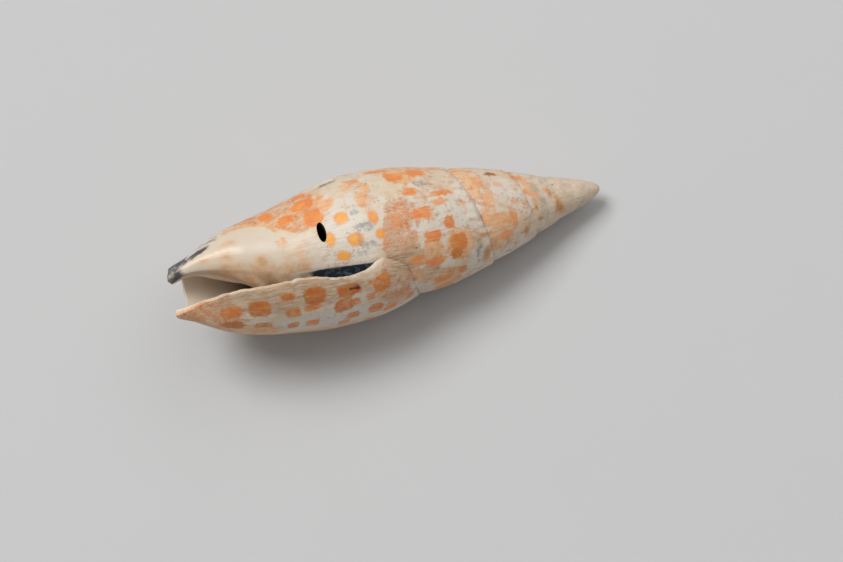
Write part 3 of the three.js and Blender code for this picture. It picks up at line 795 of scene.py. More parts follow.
def edge_strips(shell):
    """The lip's edge, the rim of the siphon notch, the end of the beak, the deep end and the worn tip."""
    fine = 2**CAGE_LEVELS
    all_rows = WHORL_ROWS + FRONT_ROWS
    pieces = []
    rows = np.arange(all_rows * fine + 1) / fine
    lip = shell.outside(0 * rows, rows)[2]
    lip_inner = shell.wall_inside(0.0, np.arange(WALL_ROWS + 1) / WALL_ROWS)[2]
    lip_fine = shell.wall_inside(0.0, rows / all_rows)[2]
    pieces.append(rounded_edge("lip edge", shell, lip, lip_fine, lip_inner, 0 * rows, (0, 0, 0.32)))

    half = CAGE_STEPS // 2 * fine
    turns = -np.arange(half + 1) * TURN / 2 / half
    coarse = -np.arange(CAVITY_STEPS // 2 + 1) * TURN / CAVITY_STEPS
    rim = shell.outside(turns, float(all_rows))[2]
    rim_fine = shell.wall_inside(turns, 1.0)[2]
    rim_inner = shell.wall_inside(coarse, 1.0)[2]
    pieces.append(rounded_edge("notch rim", shell, rim, rim_fine, rim_inner, turns, (0.3, 0, 0)))

    beak_turns = -TURN - turns
    beak_outer = shell.outside(beak_turns, float(all_rows))[2]
    beak_fine = shell.columella(turns, 1.0)[2]
    beak_inner = shell.columella(coarse, 1.0)[2]
    pieces.append(rounded_edge("beak end", shell, beak_outer, beak_fine, beak_inner, beak_turns, (0.9, 0, 0)))

    deep = -round(CAVITY_TURNS * CAVITY_STEPS) * TURN / CAVITY_STEPS
    first = shell.columella(deep, np.arange(CAVITY_ROWS + 1) / CAVITY_ROWS)[2]
    second = shell.wall_inside(deep, np.arange(WALL_ROWS + 1) / WALL_ROWS)[2]
    looks = [(np.full(len(c), deep), np.ones(len(c))) for c in (first, second)]
    pieces.append(sewn_strip("deep end", [first, second], looks, shell))

    around = np.arange(CAGE_STEPS * fine) / fine - CAGE_TURNS * CAGE_STEPS
    ring = shell.outside(around * TURN / CAGE_STEPS, 0.0)[2]
    down = np.arange(WHORL_ROWS * fine, -1, -1) / fine
    closing = shell.outside(-CAGE_TURNS * TURN, down)[2]
    loop = np.concatenate([ring, closing])
    shares = (1, 0.93, 0.84, 0.72, 0.58, 0.44, 0.3, 0.16, 0)
    rings = [loop * np.array([s**2, s, s]) for s in shares]
    looks = [(np.full(len(loop), -CAGE_TURNS * TURN), np.zeros(len(loop))) for _ in shares]
    pieces.append(sewn_strip("worn tip", rings, looks, shell))
    return pieces


def sew_together(pieces, name):
    """Joins the sheets, merges their meeting edges and checks that nothing is left open."""
    only_this(pieces[0])
    for piece in pieces:
        piece.select_set(True)
    bpy.ops.object.join()
    whole = bpy.context.active_object
    whole.name = whole.data.name = name
    bpy.ops.object.mode_set(mode="EDIT")
    bpy.ops.mesh.select_all(action="SELECT")
    bpy.ops.mesh.remove_doubles(threshold=0.002 * MM)
    bpy.ops.mesh.dissolve_degenerate(threshold=0.0001 * MM)
    bpy.ops.mesh.normals_make_consistent(inside=False)
    bpy.ops.object.mode_set(mode="OBJECT")
    check = bmesh.new()
    check.from_mesh(whole.data)
    open_edges = [edge for edge in check.edges if len(edge.link_faces) != 2]
    where = [tuple(round(c / MM, 2) for c in edge.verts[0].co) for edge in open_edges[:12]]
    volume = check.calc_volume(signed=True)
    check.free()
    if open_edges:
        raise RuntimeError(f"the shell has {len(open_edges)} open edges, such as at {where}")
    if volume <= 0:
        raise RuntimeError("the shell is inside out")
    return whole


def raise_relief(piece):
    """Moves each point out along its normal by the height kept for it."""
    mesh = piece.data
    count = len(mesh.vertices)
    places, normals, height = np.zeros(count * 3), np.zeros(count * 3), np.zeros(count)
    mesh.vertices.foreach_get("co", places)
    mesh.vertex_normals.foreach_get("vector", normals)
    mesh.attributes["relief"].data.foreach_get("value", height)
    places = places.reshape(-1, 3) + normals.reshape(-1, 3) * (height * MM)[:, None]
    mesh.vertices.foreach_set("co", places.astype(np.float32).ravel())
    mesh.attributes.remove(mesh.attributes["relief"])
    mesh.update()


def bore_hole(piece, shell, sizes):
    """Drills the oval bore hole with a rod that points at the axis."""
    turn = math.radians(sizes.bore_turn)
    place = sizes.bore_place / MM
    share = (place - float(shell.suture(turn))) / (LENGTH_MM - float(shell.suture(turn)))
    surface = float(shell.body_radius(turn, share)) * MM
    bpy.ops.object.select_all(action="DESELECT")
    bpy.ops.mesh.primitive_cylinder_add(vertices=64, radius=0.5, depth=1)
    rod = bpy.context.active_object
    scale = Matrix.Diagonal((sizes.bore_width, sizes.bore_length, 6 * MM, 1))
    upright = Matrix(((1, 0, 0, 0), (0, 0, 1, 0), (0, -1, 0, 0), (0, 0, 0, 1)))
    out = Matrix.Rotation(turn, 4, "X") @ Matrix.Translation((sizes.bore_place, surface, 0))
    rod.data.transform(out @ upright @ scale)
    # The rod's faces become the hole's wall and take the second finish, near-black painted shadow.
    rod.data.materials.append(None)
    rod.data.materials.append(None)
    for face in rod.data.polygons:
        face.material_index = 1
    cut = piece.modifiers.new("bore", "BOOLEAN")
    cut.operation = "DIFFERENCE"
    cut.solver = "EXACT"
    cut.object = rod
    only_this(piece)
    bpy.ops.object.modifier_apply(modifier=cut.name)
    bpy.data.objects.remove(rod)


def lay_down(piece, sizes):
    """Lays the shell on its back in the CAD solid's box, and rubs flat what would reach below the floor."""
    lowered = Matrix.Rotation(SPIRE_LOWERED, 4, "Y") @ Matrix.Rotation(LIE_TURN, 4, "X")
    mesh = piece.data
    mesh.transform(lowered @ Matrix.Rotation(math.pi, 4, "Z"))
    places = np.zeros(len(mesh.vertices) * 3)
    mesh.vertices.foreach_get("co", places)
    places = places.reshape(-1, 3)
    low, high = places.min(0), places.max(0)
    cad_low, cad_high = (np.array(corner) for corner in SHELL_BOX)
    shift = (cad_low + cad_high) / 2 - (low + high) / 2
    shift[2] = cad_low[2] - low[2] - sizes.rest_flat
    places = places + shift
    places[:, 2] = np.maximum(places[:, 2], cad_low[2])
    mesh.vertices.foreach_set("co", places.astype(np.float32).ravel())
    mesh.update()


class Wiring:
    """Short ways to add and join the nodes of a material."""

    def __init__(self, name):
        self.material = bpy.data.materials.new(name)
        self.material.use_nodes = True
        self.tree = self.material.node_tree
        self.tree.nodes.clear()
        self.output = self.tree.nodes.new("ShaderNodeOutputMaterial")
        self.shader = self.tree.nodes.new("ShaderNodeBsdfPrincipled")
        self.tree.links.new(self.shader.outputs["BSDF"], self.output.inputs["Surface"])

    def plug(self, socket, value):
        if isinstance(value, bpy.types.NodeSocket):
            self.tree.links.new(value, socket)
        elif socket.type == "RGBA":
            socket.default_value = (*value, 1.0)
        else:
            socket.default_value = value

    def sum(self, operation, *values):
        made = self.tree.nodes.new("ShaderNodeMath")
        made.operation = operation
        for socket, value in zip(made.inputs, values):
            self.plug(socket, value)
        return made.outputs[0]

    def soft(self, value, low, high, to_low=0.0, to_high=1.0):
        made = self.tree.nodes.new("ShaderNodeMapRange")
        made.interpolation_type = "SMOOTHSTEP"
        names = ("Value", "From Min", "From Max", "To Min", "To Max")
        for name, part in zip(names, (value, low, high, to_low, to_high)):
            self.plug(made.inputs[name], part)
        return made.outputs["Result"]

    def blend(self, first, second, share, kind="MIX"):
        made = self.tree.nodes.new("ShaderNodeMix")
        made.data_type = "RGBA"
        made.blend_type = kind
        made.clamp_factor = True
        self.plug(made.inputs["Factor"], share)
        self.plug(made.inputs["A"], first)
        self.plug(made.inputs["B"], second)
        return made.outputs["Result"]

    def kept(self, name):
        """The three values of one of the piece's own attributes."""
        read = self.tree.nodes.new("ShaderNodeAttribute")
        read.attribute_name = name
        parts = self.tree.nodes.new("ShaderNodeSeparateXYZ")
        self.tree.links.new(read.outputs["Vector"], parts.inputs[0])
        return parts.outputs[0], parts.outputs[1], parts.outputs[2]

    def times(self, *values):
        total = values[0]
        for value in values[1:]:
            total = self.sum("MULTIPLY", total, value)
        return total

    def stir(self, value, *gains):
        """Adds noises, each taken from its middle, to a value; gains are pairs of a noise and its strength."""
        for noise, strength in gains:
            value = self.sum("ADD", value, self.sum("MULTIPLY", self.sum("SUBTRACT", noise, 0.5), strength))
        return value

    def growth_place(self, across, along):
        """The shell's own surface coordinates, in millimetres, stretched for lines of growth."""
        read = self.tree.nodes.new("ShaderNodeUVMap")
        read.uv_map = "growth"
        stretch = self.tree.nodes.new("ShaderNodeMapping")
        stretch.inputs["Scale"].default_value = (across, along, 1)
        self.tree.links.new(read.outputs["UV"], stretch.inputs["Vector"])
        return stretch.outputs["Vector"]

    def object_place(self, scale=1.0):
        read = self.tree.nodes.new("ShaderNodeTexCoord")
        stretch = self.tree.nodes.new("ShaderNodeMapping")
        stretch.inputs["Scale"].default_value = (scale, scale, scale)
        self.tree.links.new(read.outputs["Object"], stretch.inputs["Vector"])
        return stretch.outputs["Vector"]

    def noise(self, place, scale, detail=3.0, roughness=0.55):
        made = self.tree.nodes.new("ShaderNodeTexNoise")
        self.plug(made.inputs["Vector"], place)
        made.inputs["Scale"].default_value = scale
        made.inputs["Detail"].default_value = detail
        made.inputs["Roughness"].default_value = roughness
        return made.outputs["Fac"]

    def cells(self, place, scale):
        made = self.tree.nodes.new("ShaderNodeTexVoronoi")
        self.plug(made.inputs["Vector"], place)
        made.inputs["Scale"].default_value = scale
        return made.outputs["Distance"]

    def bump(self, height, distance, strength=1.0, normal=None):
        made = self.tree.nodes.new("ShaderNodeBump")
        made.inputs["Strength"].default_value = strength
        made.inputs["Distance"].default_value = distance
        self.plug(made.inputs["Height"], height)
        if normal is not None:
            self.plug(made.inputs["Normal"], normal)
        return made.outputs["Normal"]


def worn_shell_finish(colours):
    """Cream shell with orange marks, weathered in places, glossy beside the opening, dark at the beak."""
    w = Wiring("worn shell")
    orange, yellow, shade = w.kept("marks")
    weathered, callus, stain = w.kept("wear")
    streaks, grey, tan = w.kept("grime")
    from_suture, tip, inside = w.kept("site")
    wash, slate, deep = w.kept("wash")
    here = w.object_place()
    broad = w.noise(here, 90, 3)
    medium = w.noise(here, 260, 4, 0.6)
    patchy = w.noise(here, 560, 5, 0.65)
    grain = w.noise(here, 1700, 4, 0.65)
    lines = w.noise(w.growth_place(3.2, 0.16), 1, 4, 0.65)
    hatch = w.noise(w.growth_place(1.7, 0.24), 1, 4, 0.6)
    open_skin = w.sum("SUBTRACT", 1.0, callus)
    unclean = w.soft(wash, -0.9, -0.1)

    # The ground: cream and white, with sandy and peach flecks and brown lines of growth.
    ground = w.blend(colours.cream, colours.white, w.soft(broad, 0.36, 0.58))
    ground = w.blend(ground, colours.white, w.sum("SUBTRACT", 1.0, unclean))
    ground = w.blend(ground, colours.sand, w.times(w.soft(w.stir(medium, (hatch, 0.4)), 0.46, 0.7), 0.55, unclean))
    ground = w.blend(ground, colours.peach, w.times(w.soft(patchy, 0.5, 0.7), 0.4, unclean))
    ground = w.blend(ground, colours.line_brown, w.times(w.soft(lines, 0.54, 0.74), 0.26))
    ground = w.blend(ground, colours.chalk, w.times(w.soft(lines, 0.46, 0.3), 0.4))
    flecks = w.times(w.soft(w.stir(grain, (patchy, 0.9), (broad, 0.5)), 0.58, 0.74), open_skin)
    ground = w.blend(ground, colours.weathered_dark, w.times(flecks, 0.42))

    faded = w.blend(colours.peach, colours.peach_deep, w.soft(w.stir(patchy, (hatch, 0.8)), 0.42, 0.66))
    faded_depth = w.soft(w.stir(wash, (medium, 1.5), (patchy, 0.9), (hatch, 0.8)), 0.3, 0.9)
    faded_share = w.times(faded_depth, w.soft(wash, 0.02, 0.3), 0.82)
    ground = w.blend(ground, faded, faded_share)

    # Weathered skin: pinkish tan with rubbed marks, darker specks and chalky flecks.
    rubbed = w.blend(colours.weathered, colours.weathered_orange, w.soft(w.stir(medium, (patchy, 0.5)), 0.44, 0.62))
    rubbed = w.blend(rubbed, colours.weathered_dark, w.times(w.soft(w.stir(grain, (patchy, 0.7)), 0.52, 0.72), 0.6))
    rubbed = w.blend(rubbed, colours.chalk, w.times(w.soft(w.stir(grain, (lines, 0.6)), 0.45, 0.3), 0.55))
    rub_share = w.soft(w.stir(weathered, (patchy, 1.3), (medium, 1.0), (lines, 0.6)), 0.3, 0.8)
    ground = w.blend(ground, rubbed, w.times(rub_share, w.soft(weathered, 0.05, 0.6, 0.2, 0.92)))

    # Brownish band along the lip, drawn out in streaks.
    streaky = w.blend(colours.streak_brown, colours.streak_pale, w.soft(hatch, 0.4, 0.6))
    streaky = w.blend(streaky, colours.streak_dark, w.times(w.soft(w.stir(lines, (patchy, 0.5)), 0.54, 0.7), 0.7))
    streak_depth = w.soft(w.stir(streaks, (medium, 1.2), (hatch, 0.9)), 0.35, 0.8)
    ground = w.blend(ground, streaky, w.times(streak_depth, w.soft(streaks, 0.02, 0.4), 0.85))

    # The marks, with ragged edges broken along the lines of growth.
    depth = w.stir(orange, (patchy, 1.7), (hatch, 1.3), (grain, 0.5))
    mark_share = w.soft(depth, -0.25, 0.3)
    bright = w.blend(colours.orange, colours.orange_light, w.soft(hatch, 0.46, 0.66))
    bright = w.blend(bright, colours.orange_red, w.times(w.soft(w.stir(medium, (hatch, 0.6)), 0.5, 0.68), 0.7))
    brown = w.blend(colours.brown_orange, colours.ochre, w.soft(w.stir(patchy, (hatch, 0.5)), 0.44, 0.64))
    deep_mark = w.blend(colours.faint_mark, bright, w.soft(shade, 0.1, 0.45))
    deep_mark = w.blend(deep_mark, brown, w.soft(shade, 0.52, 0.68))
    dark_share = w.times(w.soft(shade, 0.68, 0.85), w.soft(patchy, 0.42, 0.6), 0.8)
    deep_mark = w.blend(deep_mark, colours.streak_dark, dark_share)
    deep_mark = w.blend(deep_mark, colours.dark_red, w.soft(shade, 0.9, 1.0))
    scratched = w.soft(w.stir(lines, (grain, 0.5)), 0.36, 0.52, 0.72, 1.0)
    worn_off = w.soft(w.stir(patchy, (medium, 0.8)), 0.5, 0.68, 1.0, 0.7)
    strength = w.times(mark_share, scratched, worn_off, w.soft(shade, 0.05, 0.4, 0.5, 1.0), open_skin)
    surface = w.blend(ground, deep_mark, strength)

    spot_depth = w.stir(yellow, (patchy, 1.1), (grain, 0.4))
    spot = w.blend(colours.yellow_rim, colours.yellow, w.soft(w.stir(spot_depth, (medium, 2.4)), 0.0, 0.9))
    surface = w.blend(surface, spot, w.times(w.soft(spot_depth, -0.45, 0.5), w.soft(patchy, 0.25, 0.45, 0.75, 0.95)))

    # Glossy callus, with tan and brown clouds.
    glaze = w.blend(colours.callus, colours.callus_pink, w.soft(broad, 0.4, 0.62))
    glaze = w.blend(glaze, colours.tan, w.times(w.soft(medium, 0.52, 0.75), 0.25))
    surface = w.blend(surface, glaze, w.times(callus, 0.93))
    tan_share = w.times(w.soft(w.stir(tan, (medium, 1.0), (patchy, 0.4)), 0.1, 1.1), 0.85)
    clouds = w.blend(colours.tan, colours.tan_deep, w.soft(w.stir(tan, (patchy, 1.2)), 0.5, 1.1))
    surface = w.blend(surface, clouds, tan_share)
    smudge = w.soft(w.stir(grey, (patchy, 2.4), (grain, 1.4)), 0.35, 1.5)
    surface = w.blend(surface, colours.grey, w.times(smudge, w.soft(grey, 0.02, 0.5), 0.8))

    tip_colour = w.blend(colours.tip, colours.tip_grey, w.soft(w.stir(medium, (patchy, 0.8)), 0.3, 0.78))
    tip_colour = w.blend(tip_colour, colours.sand, w.times(w.soft(patchy, 0.5, 0.75), 0.6))
    surface = w.blend(surface, tip_colour, w.times(tip, 0.85, w.soft(tan, 0.4, 0.1)))

    # Dirt in the sutures and in small pits.
    seam = w.soft(w.stir(from_suture, (patchy, 1.6), (grain, 0.8)), 0.3, -0.15)
    seam_share = w.times(seam, w.soft(w.stir(medium, (patchy, 0.6)), 0.4, 0.6, 0.1, 0.62))
    surface = w.blend(surface, colours.seam, seam_share)
    pits = w.soft(w.stir(w.cells(here, 300), (patchy, 0.25), (grain, 0.15)), 0.09, 0.02)
    pits = w.times(pits, w.soft(w.noise(here, 110, 2), 0.5, 0.62), w.sum("SUBTRACT", 1.0, inside))
    surface = w.blend(surface, colours.seam, w.times(pits, 0.75))
    # The cavity's wall, with painted shade that darkens it towards the back of the cavity.
    cavity_shade_share = w.soft(w.stir(deep, (patchy, 0.3), (hatch, 0.3)), 0.05, 0.8)
    within = w.blend(colours.inside, colours.inside_painted_shade, cavity_shade_share)
    surface = w.blend(surface, within, inside)
    # The beak's dark stain. It also paints shadow on the cavity's wall just inside the beak's end.
    dark = w.soft(w.stir(stain, (patchy, 1.5), (medium, 0.9), (lines, 0.6)), 0.25, 0.95)
    beak_share = w.soft(w.stir(stain, (patchy, 1.5), (medium, 0.8)), 0.5, 1.15)
    beak = w.blend(colours.beak_grey, colours.beak_dark, beak_share)
    surface = w.blend(surface, beak, w.times(dark, w.soft(stain, 0.02, 0.3), 0.94))
    # The slit behind the lip: a dark stain with painted shadow in its recess, and painted glints on it.
    slate_colour = w.blend(colours.slate, colours.slate_light, w.soft(w.stir(medium, (patchy, 0.9)), 0.48, 0.72))
    surface = w.blend(surface, slate_colour, w.soft(w.stir(slate, (patchy, 0.5)), 0.3, 0.7))
    w.plug(w.shader.inputs["Base Color"], surface)

    rough = w.stir(w.soft(weathered, 0.1, 0.8, 0.42, 0.58), (grain, 0.16), (patchy, 0.12))
    rough = w.sum("SUBTRACT", rough, w.times(callus, 0.08))
    rough = w.sum("SUBTRACT", rough, w.times(slate, 0.12))
    w.plug(w.shader.inputs["Roughness"], rough)

    worn = w.sum("SUBTRACT", 1.0, w.times(callus, 0.85))
    fine = w.stir(w.sum("MULTIPLY", lines, 0.9), (hatch, 0.5), (grain, 0.5))
    height = w.times(w.stir(fine, (patchy, 0.6)), worn)
    height = w.sum("SUBTRACT", height, w.times(pits, 1.2))
    height = w.sum("SUBTRACT", height, w.times(seam, 0.7))
    w.plug(w.shader.inputs["Normal"], w.bump(height, 0.13 * MM, 1.0))
    w.shader.inputs["Subsurface Weight"].default_value = 0.06
    w.shader.inputs["Subsurface Radius"].default_value = (1.0, 0.6, 0.4)
    w.shader.inputs["Subsurface Scale"].default_value = 1.0 * MM
    w.shader.inputs["Specular IOR Level"].default_value = 0.45
    return w.material


def bore_shadow_finish(colours):
    """The bore hole's wall, painted near-black: painted shadow for the dark inside of the hole."""
    w = Wiring("bore wall")
    bore_shadow_mottle = w.noise(w.object_place(), 900, 3)
    w.plug(w.shader.inputs["Base Color"], w.blend(colours.bore, colours.beak_dark, w.soft(bore_shadow_mottle, 0.5, 0.8)))
    w.plug(w.shader.inputs["Roughness"], w.soft(bore_shadow_mottle, 0.3, 0.7, 0.7, 0.9))
    return w.material


def floor_finish(stage):
    """Plain pale grey card."""
    w = Wiring("pale card")
    fleck = w.noise(w.object_place(), 40, 4)
    shade = w.blend(stage.floor_colour, [v * 0.985 for v in stage.floor_colour], fleck)
    w.plug(w.shader.inputs["Base Color"], shade)
    w.plug(w.shader.inputs["Roughness"], w.soft(fleck, 0.3, 0.7, 0.88, 0.94))
    w.shader.inputs["Specular IOR Level"].default_value = 0.2
    return w.material


def length_value(name, description, millimetres):
    return FloatProperty(name=name, description=description, default=millimetres * MM, unit="LENGTH", precision=5)


def plain_value(name, description, number):
    return FloatProperty(name=name, description=description, default=number)


def angle_value(name, description, degrees):
    return FloatProperty(name=name, description=description, default=math.radians(degrees), subtype="ANGLE")


def power_value(name, description, watts):
    return FloatProperty(name=name, description=description, default=watts, unit="POWER")


def colour_value(name, description, red, green, blue):
    """A colour given as it looks on a screen, 0 to 255, kept as linear light."""
    linear = [((c / 255 + 0.055) / 1.055) ** 2.4 if c > 10 else c / 255 / 12.92 for c in (red, green, blue)]
    return FloatVectorProperty(name=name, description=description, default=linear, subtype="COLOR", min=0, max=1)


class ShellSizes(bpy.types.PropertyGroup):
    """The sizes that the shell grows by."""

    whorl_ratio: plain_value("Whorl ratio", "How much larger each turn is than the one before", 1.65)
    suture_at_lip: length_value("Suture at the lip", "From the spire's tip to the suture where the lip starts", 57.5)
    suture_dip: length_value("Suture dip", "How far the suture runs forwards just before the lip", 4.5)
    whorl_swell: plain_value("Whorl swell", "How far each whorl bulges, as a share of its radius", 0.11)
    wall: length_value("Wall", "Thickness of the last whorl's wall", 2)
    lip_wall: length_value("Lip wall", "Thickness of the wall at the lip", 1.5)
    fold_height: length_value("Fold height", "Height of the first fold on the columella", 0.9)
    columella_swell: length_value("Columella swell", "How far the columella bulges into the canal", 1.1)
    notch_depth: length_value("Notch depth", "How far the siphon notch cuts back", 2.4)
    bore_place: length_value("Bore place", "From the tip of the spire to the bore hole", 75)
    bore_turn: plain_value("Bore turn", "Turn angle of the bore hole, back from the lip, in degrees", -324)
    bore_length: length_value("Bore length", "Length of the oval bore hole, round the shell", 5)
    bore_width: length_value("Bore width", "Width of the oval bore hole, along the shell", 2)
    rest_flat: length_value("Rest flat", "How deep the patches that it rests on are rubbed", 0.25)


class ShellColours(bpy.types.PropertyGroup):
    """The colours of the worn shell."""

    cream: colour_value("Cream", "The ground", 220, 200, 173)
    white: colour_value("White", "The palest ground", 221, 210, 194)
    chalk: colour_value("Chalk", "Chalky flecks and scratches", 229, 219, 203)
    sand: colour_value("Sand", "Sandy flecks in the ground", 206, 176, 142)
    peach: colour_value("Peach", "Faded marks", 230, 182, 132)
    peach_deep: colour_value("Deep peach", "Less faded marks", 226, 150, 92)
    line_brown: colour_value("Growth line", "Lines of growth", 150, 120, 94)
    weathered: colour_value("Weathered", "Weathered pinkish surface", 206, 164, 133)
    weathered_orange: colour_value("Weathered orange", "Weathered surface with rubbed marks", 220, 148, 98)
    weathered_dark: colour_value("Weathered dark", "Darker specks in the weathered surface", 158, 112, 86)
    faint_mark: colour_value("Faint mark", "Rubbed marks", 232, 172, 120)
    orange: colour_value("Orange mark", "Squarish marks", 231, 138, 62)
    orange_light: colour_value("Light orange", "Lighter streaks in the marks", 241, 166, 96)
    orange_red: colour_value("Red orange", "Redder parts of the marks", 226, 108, 52)
    brown_orange: colour_value("Brown mark", "Marks near the lip", 200, 104, 36)
    ochre: colour_value("Ochre", "Yellower parts of the marks near the lip", 206, 138, 54)
    dark_red: colour_value("Dark red", "The darkest marks", 122, 34, 18)
    yellow: colour_value("Yellow", "Middle of the yellow spots", 240, 170, 58)
    yellow_rim: colour_value("Yellow rim", "Rim of the yellow spots", 234, 146, 84)
    streak_brown: colour_value("Streak", "Brownish band near the lip", 184, 147, 113)
    streak_pale: colour_value("Pale streak", "Pale streaks in the band", 212, 187, 158)
    streak_dark: colour_value("Dark streak", "Dark streaks in the band", 122, 88, 68)
    callus: colour_value("Callus", "Glossy callus", 217, 204, 185)
    callus_pink: colour_value("Pink callus", "Glossy callus, pinker", 216, 198, 177)
    tan: colour_value("Tan", "Tan clouds", 212, 168, 119)
    tan_deep: colour_value("Deep tan", "The browner middle of the clouds", 186, 128, 73)
    grey: colour_value("Grey", "Worn grey smudges", 146, 144, 144)
    tip: colour_value("Tip", "Worn tip of the spire", 222, 200, 176)
    tip_grey: colour_value("Grey tip", "Grey parts of the spire", 197, 181, 160)
    beak_grey: colour_value("Beak grey", "Grey stain on the beak", 160, 153, 141)
    # Beak dark: the beak's darkest stain. It is also used for the painted shadow inside the beak's end and on the
    # bore's wall.
    beak_dark: colour_value("Beak dark", "Darkest stain on the beak", 56, 60, 68)
    seam: colour_value("Seam", "Dirt in the suture and the pits", 118, 88, 68)
    inside: colour_value("Inside", "The cavity's wall", 238, 223, 203)
    # Deep inside: painted shade, the cavity's wall darkened deeper inside.
    inside_painted_shade: colour_value("Deep inside", "Darker parts of the cavity's wall", 116, 86, 56)
    # Slate: a dark stain in the slit, and painted shadow for the recess behind the lip.
    slate: colour_value("Slate", "Dark stain in the slit behind the lip", 46, 52, 60)
    # Light slate: painted glints, painted highlights on the dark of the slit.
    slate_light: colour_value("Light slate", "Paler glints in the slit", 104, 116, 130)
    # Bore: painted shadow, near-black, for the wall of the bore hole.
    bore: colour_value("Bore", "Wall of the bore hole", 20, 16, 14)


class StageSettings(bpy.types.PropertyGroup):
    """The floor, the light and the camera. The lights and the camera were fitted to the photograph."""

    floor_size: length_value("Floor size", "Side of the floor", 6000)
    floor_colour: colour_value("Floor", "The floor's colour", 199, 199, 199)
    light_distance: length_value("Light distance", "From the shell to the main light", 3000)
    light_size: length_value("Light size", "Side of the main light", 1270)
    light_power: power_value("Light power", "Power of the main light", 64.6)
    light_height: angle_value("Light height", "Angle of the main light above the floor", 60)
    light_side: angle_value("Light side", "Direction of the main light round the shell", 132)
    second_size: length_value("Second size", "Side of the second light", 2820)
    second_power: power_value("Second power", "Power of the second light", 24)
    second_height: angle_value("Second height", "Angle of the second light above the floor", 63)
    second_side: angle_value("Second side", "Direction of the second light round the shell", 35)
    fill: plain_value("Fill", "Strength of the even light from all round", 0.24)
    camera_distance: length_value("Camera distance", "From the camera to the point it looks at", 518.5)
    camera_height: angle_value("Camera height", "Angle of the camera above the floor", 78.47)
    camera_side: angle_value("Camera side", "Angle of the camera round the shell", -17.97)
    camera_roll: angle_value("Camera roll", "How far the camera is turned about its own line of sight", 2.04)
    lens: FloatProperty(name="Lens", description="Focal length on a 36 mm wide sensor", default=90.0, unit="CAMERA")


# The point that the camera and the lights face, in metres.
LOOKED_AT = (0.00455, -0.01183, 0.015)


def soft_light(name, stage, side, height, size, power):
    """A square light at the stage's distance, facing the shell."""
    flat = math.cos(height)
    way = Vector((flat * math.cos(side), flat * math.sin(side), math.sin(height)))
    bpy.ops.object.light_add(type="AREA", location=Vector(LOOKED_AT) + way * stage.light_distance)
    lamp = bpy.context.active_object
    lamp.name = name
    lamp.data.shape = "SQUARE"
    lamp.data.size = size
    lamp.data.energy = power
    lamp.rotation_euler = way.to_track_quat("Z", "Y").to_euler()


class MITRE_OT_shell(bpy.types.Operator):
    """Builds the shell with its marks and its finish"""

    bl_idname = "mitre.shell"
    bl_label = "Build the shell"

    def execute(self, context):
        sizes = context.scene.shell_sizes
        colours = context.scene.shell_colours
        shell = GrownShell(sizes)
        cavity_steps = round(CAVITY_TURNS * CAVITY_STEPS)
        pieces = [
            wound_outside(shell),
            rolled_sheet("columella", cavity_steps, CAVITY_ROWS, shell.columella, shell),
            rolled_sheet("wall inside", cavity_steps, WALL_ROWS, shell.wall_inside, shell),
        ]
        pieces.extend(edge_strips(shell))
        piece = sew_together(pieces, "shell_worn")
        raise_relief(piece)
        piece.data.materials.clear()
        piece.data.materials.append(worn_shell_finish(colours))
        piece.data.materials.append(bore_shadow_finish(colours))
        bore_hole(piece, shell, sizes)
        lay_down(piece, sizes)
        only_this(piece)
        bpy.ops.object.shade_smooth_by_angle(angle=math.radians(50))
        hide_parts("mitre_shell")
        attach(piece, "root")
        return {"FINISHED"}


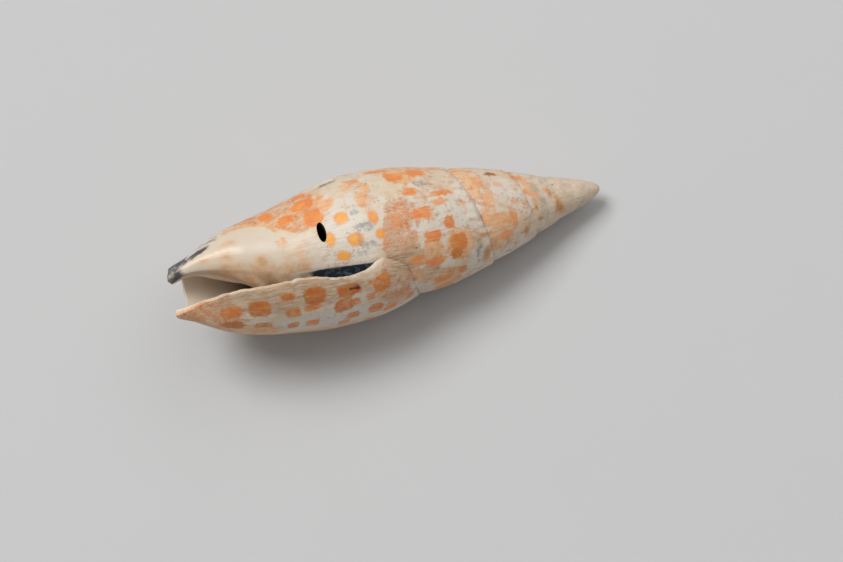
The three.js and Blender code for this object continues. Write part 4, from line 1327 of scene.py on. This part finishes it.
class MITRE_OT_stage(bpy.types.Operator):
    """Lays the floor and sets up the light and the camera"""

    bl_idname = "mitre.stage"
    bl_label = "Set the stage"

    def execute(self, context):
        scene = context.scene
        stage = scene.shell_stage
        bpy.ops.object.select_all(action="DESELECT")
        bpy.ops.mesh.primitive_plane_add(size=stage.floor_size, location=(0, 0, 0))
        floor = context.active_object
        floor.name = "floor"
        floor.data.materials.append(floor_finish(stage))

        centre = Vector(LOOKED_AT)
        soft_light("main light", stage, stage.light_side, stage.light_height, stage.light_size, stage.light_power)
        soft_light(
            "second light", stage, stage.second_side, stage.second_height, stage.second_size, stage.second_power,
        )

        world = bpy.data.worlds.new("even light")
        scene.world = world
        world.use_nodes = True
        background = world.node_tree.nodes["Background"]
        background.inputs["Color"].default_value = (1, 1, 1, 1)
        background.inputs["Strength"].default_value = stage.fill

        side, height = stage.camera_side, stage.camera_height
        back = Vector((math.cos(height) * math.sin(side), -math.cos(height) * math.cos(side), math.sin(height)))
        level = Vector((math.cos(side), math.sin(side), 0))
        upright = back.cross(level)
        right = level * math.cos(stage.camera_roll) + upright * math.sin(stage.camera_roll)
        up = back.cross(right)
        bpy.ops.object.camera_add(location=(0, 0, 0))
        camera = context.active_object
        turned = Matrix((right, up, back)).transposed().to_4x4()
        camera.matrix_world = Matrix.Translation(centre + back * stage.camera_distance) @ turned
        camera.data.sensor_width = 36
        camera.data.lens = stage.lens
        camera.data.clip_start = 0.01
        camera.data.clip_end = 20
        scene.camera = camera
        scene.view_settings.view_transform = "Standard"
        return {"FINISHED"}


class MITRE_PT_panel(bpy.types.Panel):
    """Lists the steps in the sidebar"""

    bl_label = "Mitre shell"
    bl_idname = "MITRE_PT_panel"
    bl_space_type = "VIEW_3D"
    bl_region_type = "UI"
    bl_category = "Shell"

    def draw(self, context):
        self.layout.operator(MITRE_OT_shell.bl_idname)
        self.layout.operator(MITRE_OT_stage.bl_idname)
        for settings in (context.scene.shell_sizes, context.scene.shell_colours, context.scene.shell_stage):
            box = self.layout.box()
            for name in settings.__annotations__:
                box.prop(settings, name)


CLASSES = (ShellSizes, ShellColours, StageSettings, MITRE_OT_shell, MITRE_OT_stage, MITRE_PT_panel)


def register():
    for kind in CLASSES:
        bpy.utils.register_class(kind)
    bpy.types.Scene.shell_sizes = PointerProperty(type=ShellSizes)
    bpy.types.Scene.shell_colours = PointerProperty(type=ShellColours)
    bpy.types.Scene.shell_stage = PointerProperty(type=StageSettings)


def unregister():
    del bpy.types.Scene.shell_stage
    del bpy.types.Scene.shell_colours
    del bpy.types.Scene.shell_sizes
    for kind in reversed(CLASSES):
        bpy.utils.unregister_class(kind)


def main():
    register()
    bpy.ops.mitre.stage()
    bpy.ops.mitre.shell()


if __name__ == "__main__":
    main()
